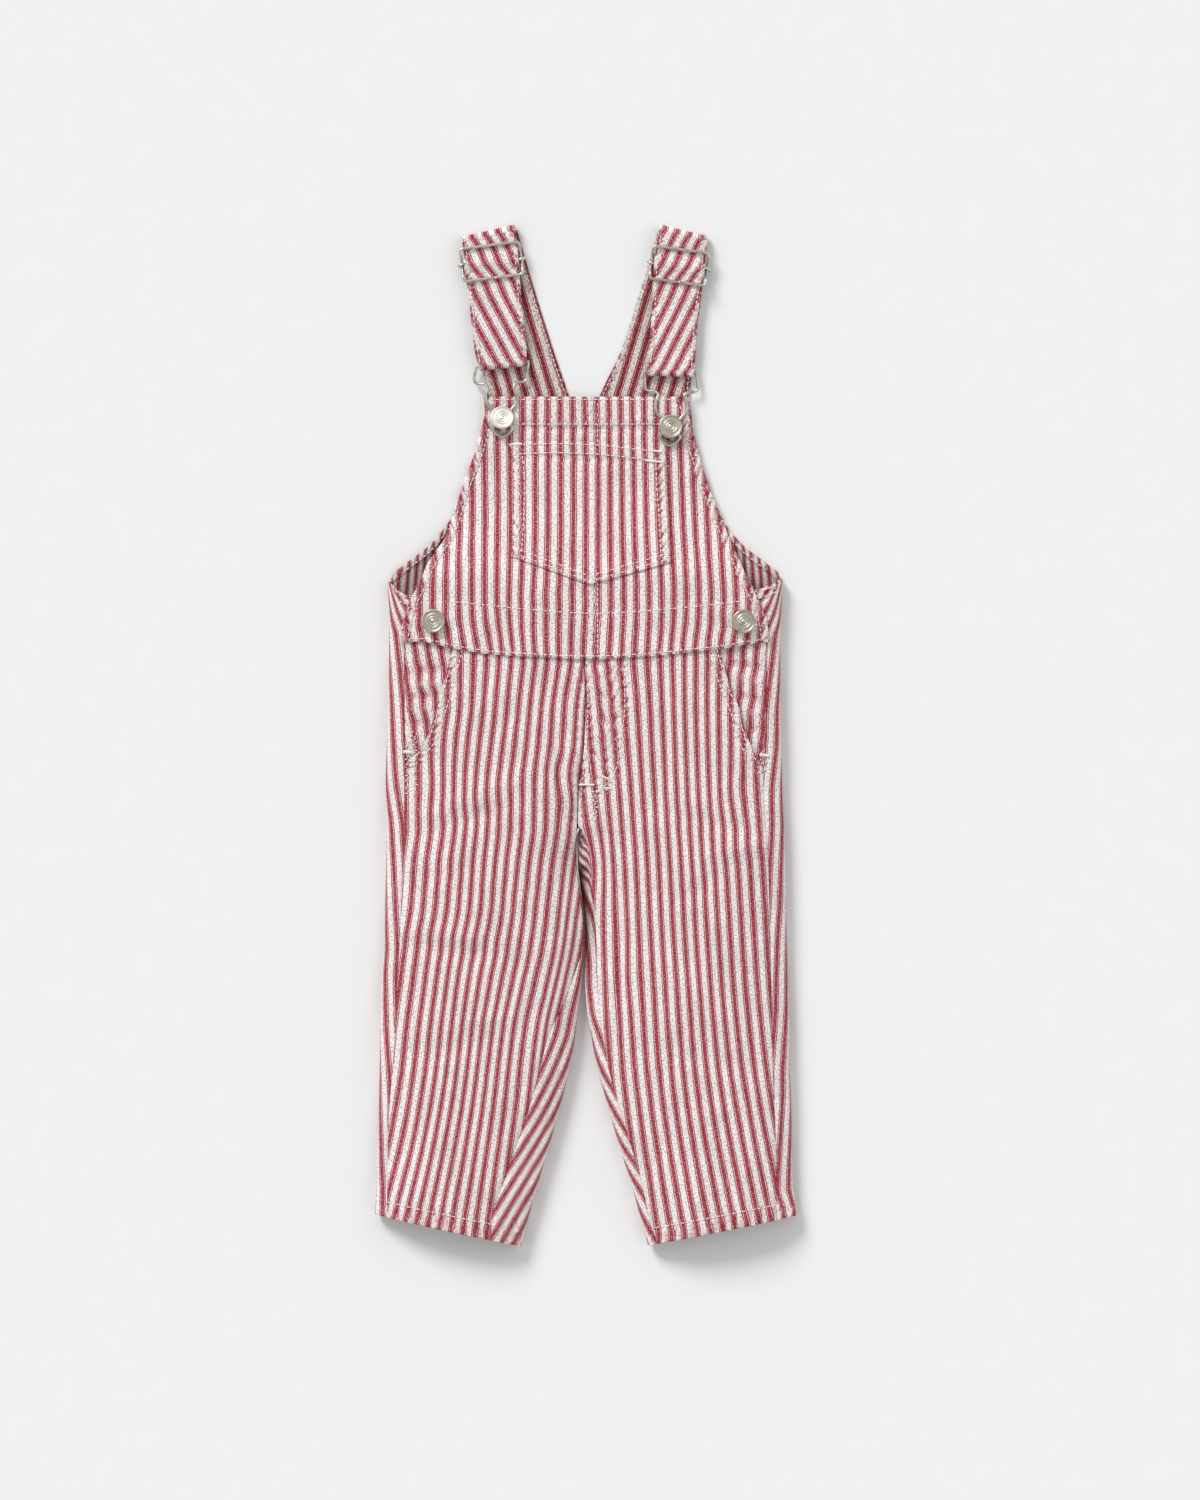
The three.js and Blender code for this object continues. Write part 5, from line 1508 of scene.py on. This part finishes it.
def sew_front(side):
    sewing = Sewing(f"front_{side.name}")
    face = front_face(side)
    inward = side.direction
    slant = slant_line(side)[:-3]
    for distance in (1.5, 6.2):
        lift = side.slant_lift * math.exp(-((distance / 3.5) ** 2))
        sewing.run(slant + (inward * distance, 0), lambda x, y, lift=lift: face(x, y) + lift)
    x = np.linspace(side.lines("outer_seam", -300), side.lines("inner_seam", -300), 50)
    low, high = side.hem_outer_y, side.hem_inner_y
    share = np.abs(x - side.lines("outer", -300)) / np.abs(side.lines("inner", -300) - side.lines("outer", -300))
    sewing.run(np.stack([x, mix(low, high, share) + HEM_STITCH], axis=1), lambda a, b: face(a, b) + 0.05)
    seam = side.lines("outer_seam", -10)
    if side is LEFT:
        sewing.tack((-113.6, -10.4), (-108.9, -10.8), lambda a, b: face(a, b) + 0.2)
        sewing.fray((-109.0, -18), 20, 3.2, 64, face)
    else:
        sewing.run(FLY_LINE, face)
        sewing.fray((11.5, -30), 4.5, 3.4, 18, face)
        sewing.fray((5.0, -44), 9, 1.6, 26, face)
        sewing.fray((110.5, -16), 6, 2.0, 14, face)
        sewing.run(offset_line(CENTRE_LINE[2:44], 1.7), face)
        sewing.tack((seam - 3.0, -12.2), (seam + 2.2, -13.0), lambda a, b: face(a, b) + 0.2)
        sewing.tack((-4.4, -31.0), (4.9, -31.0), lambda a, b: face(a, b) + 0.2, wide=1.3)
        sewing.tack((6.1, -35.0), (7.9, -35.2), lambda a, b: face(a, b) + 0.2, wide=1.3)
        sewing.tack((9.8, -25.6), (14.2, -27.6), lambda a, b: face(a, b) + 0.2, wide=1.2)
        sewing.tack((11.2, -33.0), (15.4, -33.4), lambda a, b: face(a, b) + 0.2, wide=1.2)
    return sewing.make()


def sew_back(side):
    """The side hem on top, the armhole's hem, the leg hem below and the centre-back seam."""
    sewing = Sewing(f"back_{side.name}")
    sign = -side.direction
    x = sign * np.linspace(119.0, 93.0, 20)
    for drop in (1.4, 5.6):
        top = side.tab_top("y", np.abs(x - side.lines("outer", 88))) - drop
        sewing.run(np.stack([x, top], axis=1), lambda a, b: trousers_top(side, a, b) + 0.55)
    below = lambda a, b: 0 * a - 0.02
    reach = np.linspace(70, 114, 40)
    arm = np.stack([sign * reach, BACK_ARMHOLE("y", -reach) - 4.5], axis=1)
    lift = 3.2 * smoothstep(reach, 80, 94)
    for up, face in ((1, SHEET + 0.9), (-1, -0.02)):
        sewing.follow(np.concatenate([arm, (lift + face)[:, None]], axis=1), up=(0, 0, up))
    for drop in (2.2, 6.4):
        sewing.run(between((sign * 2.0 - 0.8, BACK_TOP_Y - drop), (sign * 67.5, BACK_TOP_Y - drop), 30), below,
                   up=(0, 0, -1))
    for inward in (1.8, 5.0):
        sewing.run(between((sign * inward - 0.8, 172), (sign * inward - 0.8, -74), 60), below, up=(0, 0, -1))
    ends = np.linspace(118, 48, 40)
    share = (131 - ends) / (131 - 38)
    hem = np.stack([sign * ends, mix(side.hem_outer_y, side.hem_inner_y, share) + HEM_STITCH], axis=1)
    sewing.run(hem, below, up=(0, 0, -1))
    return sewing.make()


def sew_strap(side):
    sewing = Sewing(f"strap_{side.name}")
    shape = side.strap
    for rows, low, high, z in ((shape.back, 0.06, 0.94, 2 * BACK_LAYER_Z), (shape.front, 0.07, 0.95, FRONT_LAYER_Z)):
        share = np.linspace(low, high, 70)
        outer, inner, across, _ = strap_station(rows, share)
        face = z + 0.1 + (0 if rows is shape.back else CLOTH / 2 + over_bar(share, shape.slider))
        for line in (outer + across * 1.9, inner - across * 1.9):
            sewing.follow(np.concatenate([line, (face + 0 * share)[:, None]], axis=1))
    return sewing.make()


# Hardware
WIRE_RADIUS = 0.96
WIRE_SIDES = 14
HOOK_Z = 6.4
WIRE_END_GAP = 0.4
HOOK_OUTLINE = [
    (16.4, 25.5), (14.9, 22.6), (10.4, 22.0), (8.2, 20.0), (9.4, 15.6), (9.6, 11.2), (8.2, 7.9), (5.6, 4.6),
    (5.0, 0), (5.4, -4.6), (5.7, -7.0), (2.8, -10.4),
]
HOOK_BOTTOM = (0, -11.6)
HOOK_CRADLE = [(-6.4, -4.4), (-6.2, -6.9), (-4.4, -7.2), (-2.0, -9.4), (0, -9.9), (2.0, -9.4), (4.4, -7.2),
               (6.2, -6.9), (6.4, -4.4)]
LEFT.hook = SimpleNamespace(x=-52.5, y=197.5, turn=2.5)
RIGHT.hook = SimpleNamespace(x=52.5, y=192.2, turn=-1.5)


def sweep(points, radius, sides=WIRE_SIDES):
    """A round wire along a line of points, with closed ends."""
    points = np.asarray(points, float)
    tangent = np.gradient(points, axis=0)
    tangent /= np.linalg.norm(tangent, axis=1, keepdims=True)
    side = np.cross(tangent[0], (0.0, 0.0, 1.0))
    if np.linalg.norm(side) < 1e-3:
        side = np.array((1.0, 0.0, 0.0))
    rings = []
    angle = np.linspace(0, 2 * math.pi, sides, endpoint=False)
    for place, heading in zip(points, tangent):
        side = side - heading * side.dot(heading)
        side /= np.linalg.norm(side)
        other = np.cross(heading, side)
        rings.append(place + radius * (np.cos(angle)[:, None] * side + np.sin(angle)[:, None] * other))
    found = np.array(rings).reshape(-1, 3)
    ring = np.arange(sides)
    after = (ring + 1) % sides
    faces = [np.stack([i * sides + ring, i * sides + after, (i + 1) * sides + after, (i + 1) * sides + ring], axis=1)
             for i in range(len(points) - 1)]
    last = (len(points) - 1) * sides
    caps = []
    for k in range(sides // 2 - 1):
        caps.append((k, k + 1, sides - 2 - k, sides - 1 - k)[::-1])
        caps.append((last + k, last + k + 1, last + sides - 2 - k, last + sides - 1 - k))
    return found, np.concatenate(faces + [np.array(caps)])


def join(parts):
    points, faces, first = [], [], 0
    for part_points, part_faces in parts:
        points.append(part_points)
        faces.append(part_faces + first)
        first += len(part_points)
    return np.concatenate(points), np.concatenate(faces)


def hook_piece(side):
    place, shape = side.hook, side.strap
    turn = math.radians(place.turn)

    def on_garment(across, along, z):
        return (place.x + across * math.cos(turn) - along * math.sin(turn),
                place.y + across * math.sin(turn) + along * math.cos(turn), z)

    outer, inner, _, square = strap_station(shape.front, 1.0)
    reach = (FRONT_LAYER_Z - RETURN_LAYER_Z) / 2 + CLOTH / 2
    left, right = (outer[0], inner[0]) if side is LEFT else (inner[0], outer[0])
    span = np.linalg.norm(right - left)
    along = (right - left) / span

    def on_bar(start, distance):
        at = start + along * distance - square[0] * reach
        return (at[0], at[1], BAR_Z)

    def arm(sign):
        return [on_garment(sign * across, down, mix(BAR_Z, HOOK_Z, smoothstep(i, 0, 4.5)))
                for i, (across, down) in enumerate(HOOK_OUTLINE)]

    points = [
        on_bar(left, span / 2 - WIRE_END_GAP / 2), on_bar(left, span * 0.25), on_bar(left, 0.5), on_bar(left, -1.4),
        *arm(-1), on_garment(*HOOK_BOTTOM, HOOK_Z), *arm(1)[::-1],
        on_bar(right, 1.4), on_bar(right, -0.5), on_bar(right, -span * 0.25),
        on_bar(left, span / 2 + WIRE_END_GAP / 2),
    ]
    cradle = [on_garment(across, down, HOOK_Z - 1.5) for across, down in HOOK_CRADLE]
    node = f"hook_{side.name}"
    wires = join([sweep(smooth_line(points, 8), WIRE_RADIUS), sweep(smooth_line(cradle, 6), WIRE_RADIUS)])
    piece = make_object(f"{node}_wire", *wires, NICKEL)
    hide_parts(node)
    return piece


def slider_places(side):
    outer, inner, across, square = strap_station(side.strap.front, side.strap.slider)
    middle = (outer[0] + inner[0]) / 2
    half = np.linalg.norm(outer[0] - inner[0]) / 2 + 1.7

    def place(across_by, along_by, z):
        at = middle + across[0] * across_by + square[0] * along_by
        return (at[0], at[1], z)

    return place, half


def slider_piece(side):
    place, half = slider_places(side)
    end = SLIDER_HALF_LENGTH

    def side_z(along):
        return mix(BAR_Z + 0.4, SLIDER_Z, smoothstep(abs(along), 2, end - 2))

    corner = [(half - 3.2, end), (half - 1.0, end - 0.35), (half - 0.25, end - 1.2), (half, end - 3.2)]
    right = [place(a, b, side_z(b)) for a, b in corner]
    down = [place(half, b, side_z(b)) for b in (5, 2.5, 0, -2.5, -5)]
    lower_right = [place(a, -b, side_z(b)) for a, b in corner[::-1]]
    lower_left = [place(-a, -b, side_z(b)) for a, b in corner]
    up = [place(-half, b, side_z(b)) for b in (-5, -2.5, 0, 2.5, 5)]
    upper_left = [place(-a, b, side_z(b)) for a, b in corner[::-1]]
    points = [place(0.2, end, SLIDER_Z), place(half / 2, end, SLIDER_Z), *right, *down, *lower_right,
              place(0, -end, SLIDER_Z), *lower_left, *up, *upper_left, place(-half / 2, end, SLIDER_Z),
              place(-0.2, end, SLIDER_Z)]
    node = f"slider_{side.name}"
    piece = make_object(f"{node}_wire", *sweep(smooth_line(points, 6), WIRE_RADIUS), NICKEL)
    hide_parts(node)
    return piece


def slider_bar_piece(side):
    """The bar under the strap, whose ends curl round the sides of the slider's frame."""
    place, half = slider_places(side)
    curl = WIRE_RADIUS * 2 + 0.15
    parts = []
    points = []
    for sign in (-1, 1):
        loop = []
        for degrees in np.linspace(-90, 150, 12):
            angle = math.radians(degrees)
            loop.append(place(sign * (half + curl * math.cos(angle)), 0.9 * sign * degrees / 150,
                              BAR_Z + 0.4 + curl * math.sin(angle)))
        start = place(sign * (half - 3.4), 0, BAR_Z - 0.5)
        points.append([start, *loop])
    line = points[0][::-1] + points[1]
    parts.append(sweep(smooth_line(line, 4), WIRE_RADIUS * 0.94))
    node = f"slider_bar_{side.name}"
    piece = make_object(f"{node}_wire", *join(parts), NICKEL)
    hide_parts(node)
    return piece


BUTTON_RADIUS = 7.4
BUTTON_HEAD = 2.8
SHANK_RADIUS = 3
BUTTON_SIDES = 72
BEADS = 36
# The left chest button takes the paler copy of the metal, a painted highlight
BUTTONS = [
    ("chest_button_left", -52.5, 197.5, 2.9, 0, 15, PAINTED_LIT_BUTTON_METAL),
    ("chest_button_right", 52.5, 192.2, 2.9, 3, 7, BUTTON_METAL),
    ("side_button_left", -95.2, 70.9, 1.0, -4, 0, BUTTON_METAL),
    ("side_button_right", 97.9, 70.6, 1.0, 4, 0, BUTTON_METAL),
]
# The head from its shank to its middle: radius, height from the head's underside, and how much it is beaded
BUTTON_PROFILE = [
    (SHANK_RADIUS, 0, 0), (5.4, -0.05, 0), (6.5, 0.15, 0), (7.1, 0.6, 0), (7.4, 1.1, 0), (7.4, 1.7, 0),
    (7.3, 2.15, 0), (7.05, 2.5, 0), (6.75, 2.7, 0), (6.45, 2.66, 0), (6.2, 2.3, 0), (6.0, 2.0, 0.1),
    (5.6, 2.1, 0.7), (5.1, 2.1, 0.7), (4.75, 2.0, 0.1), (4.5, 2.05, 0), (4.25, 2.5, 0), (3.85, 2.52, 0),
    (3.6, 2.05, 0), (3.2, 1.98, 0), (2.85, 2.0, 0), (2.6, 2.5, 0), (2.2, 2.5, 0), (1.95, 2.05, 0), (1.4, 2.0, 0),
    (1.1, 2.45, 0), (0.02, 2.5, 0),
]


def button_piece(name, x, y, shank, roll, pitch, material):
    seat = float(bib_top(np.array(x), np.array(y))) + 0.3
    angle = np.linspace(0, 2 * math.pi, BUTTON_SIDES, endpoint=False)
    rings = [(0.02, 0, 0), (SHANK_RADIUS, 0, 0), (SHANK_RADIUS, shank * 0.5, 0)]
    rings += [(radius, height + shank, beads) for radius, height, beads in BUTTON_PROFILE]
    points = []
    for radius, height, beads in rings:
        bumps = 0.26 * beads * np.cos(angle * BEADS)
        points.append(np.stack([radius * np.cos(angle), radius * np.sin(angle), height + bumps], axis=1))
    points = np.concatenate(points)
    rows = len(rings)
    ring = np.arange(BUTTON_SIDES)
    after = (ring + 1) % BUTTON_SIDES
    faces = np.concatenate([
        np.stack([i * BUTTON_SIDES + ring, i * BUTTON_SIDES + after, (i + 1) * BUTTON_SIDES + after,
                  (i + 1) * BUTTON_SIDES + ring], axis=1)
        for i in range(rows - 1)
    ])
    above = points[:, 2:3] > shank * 0.6
    tilt_x, tilt_y = math.radians(-pitch), math.radians(roll)
    pivot = np.array([0, 0, shank])
    spun = points - pivot
    turn_x = np.array([[1, 0, 0], [0, math.cos(tilt_x), -math.sin(tilt_x)], [0, math.sin(tilt_x), math.cos(tilt_x)]])
    turn_y = np.array([[math.cos(tilt_y), 0, math.sin(tilt_y)], [0, 1, 0], [-math.sin(tilt_y), 0, math.cos(tilt_y)]])
    spun = spun @ (turn_y @ turn_x).T + pivot
    points = np.where(above, spun, points) + np.array([x, y, seat])
    piece = make_object(f"{name}_metal", points, faces, material)
    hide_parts(name)
    return piece


def build():
    for side in SIDES:
        back_piece(side)
        front_piece(side)
        facing_piece(side)
        bib_piece(side)
        strap_piece(side)
        sew_front(side)
        sew_back(side)
        sew_strap(side)
        hook_piece(side)
        slider_piece(side)
        slider_bar_piece(side)
    pocket_piece()
    sew_bib()
    sew_pocket()
    for row in BUTTONS:
        button_piece(*row)


# Floor, light and camera
IMAGE_MIDDLE = (8.6, -9.4)
VIEW_HEIGHT = 937.5
CAMERA_DISTANCE = 4000
SENSOR = 36


def make_floor():
    size = 6.0
    mesh = bpy.data.meshes.new("floor")
    mesh.from_pydata([(-size, -size, -0.0003), (size, -size, -0.0003), (size, size, -0.0003), (-size, size, -0.0003)],
                     [], [(0, 1, 2, 3)])
    n = Nodes("floor_paper")
    place = n.add("ShaderNodeTexCoord").outputs["Object"]
    grain = n.add("ShaderNodeTexNoise", {"Vector": place, "Scale": 60.0, "Detail": 3.0})
    n.link(n.blend("MIX", grain.outputs[0], colour(238, 238, 238), colour(240, 240, 240)), "Base Color")
    n.shader.inputs["Roughness"].default_value = 0.95
    n.shader.inputs["Specular IOR Level"].default_value = 0.1
    mesh.materials.append(n.material)
    floor = bpy.data.objects.new("floor", mesh)
    bpy.context.scene.collection.objects.link(floor)


def add_light(name, kind, energy, location, aim=(0, 0, 0), **settings):
    data = bpy.data.lights.new(name, kind)
    data.energy = energy
    for key, value in settings.items():
        setattr(data, key, value)
    lamp = bpy.data.objects.new(name, data)
    lamp.location = location
    lamp.rotation_euler = (Vector(aim) - Vector(location)).to_track_quat("-Z", "Y").to_euler()
    bpy.context.scene.collection.objects.link(lamp)


def make_light():
    world = bpy.data.worlds.new("studio")
    world.use_nodes = True
    world.node_tree.nodes["Background"].inputs["Color"].default_value = (1.0, 1.0, 1.0, 1)
    world.node_tree.nodes["Background"].inputs["Strength"].default_value = 0.55
    bpy.context.scene.world = world
    add_light("key", "SUN", 2.3, (-0.86, 1.24, 0.95), angle=math.radians(22))
    add_light("fill", "SUN", 0.42, (1.2, 0.1, 0.9), angle=math.radians(60))


def make_camera():
    data = bpy.data.cameras.new("camera")
    data.sensor_fit = "VERTICAL"
    data.sensor_height = SENSOR
    data.lens = SENSOR * CAMERA_DISTANCE / VIEW_HEIGHT
    data.clip_end = 50
    camera = bpy.data.objects.new("camera", data)
    camera.location = (IMAGE_MIDDLE[0] * MM, IMAGE_MIDDLE[1] * MM, CAMERA_DISTANCE * MM)
    bpy.context.scene.collection.objects.link(camera)
    bpy.context.scene.camera = camera
    bpy.context.scene.view_settings.view_transform = "Standard"


build()
make_floor()
make_light()
make_camera()
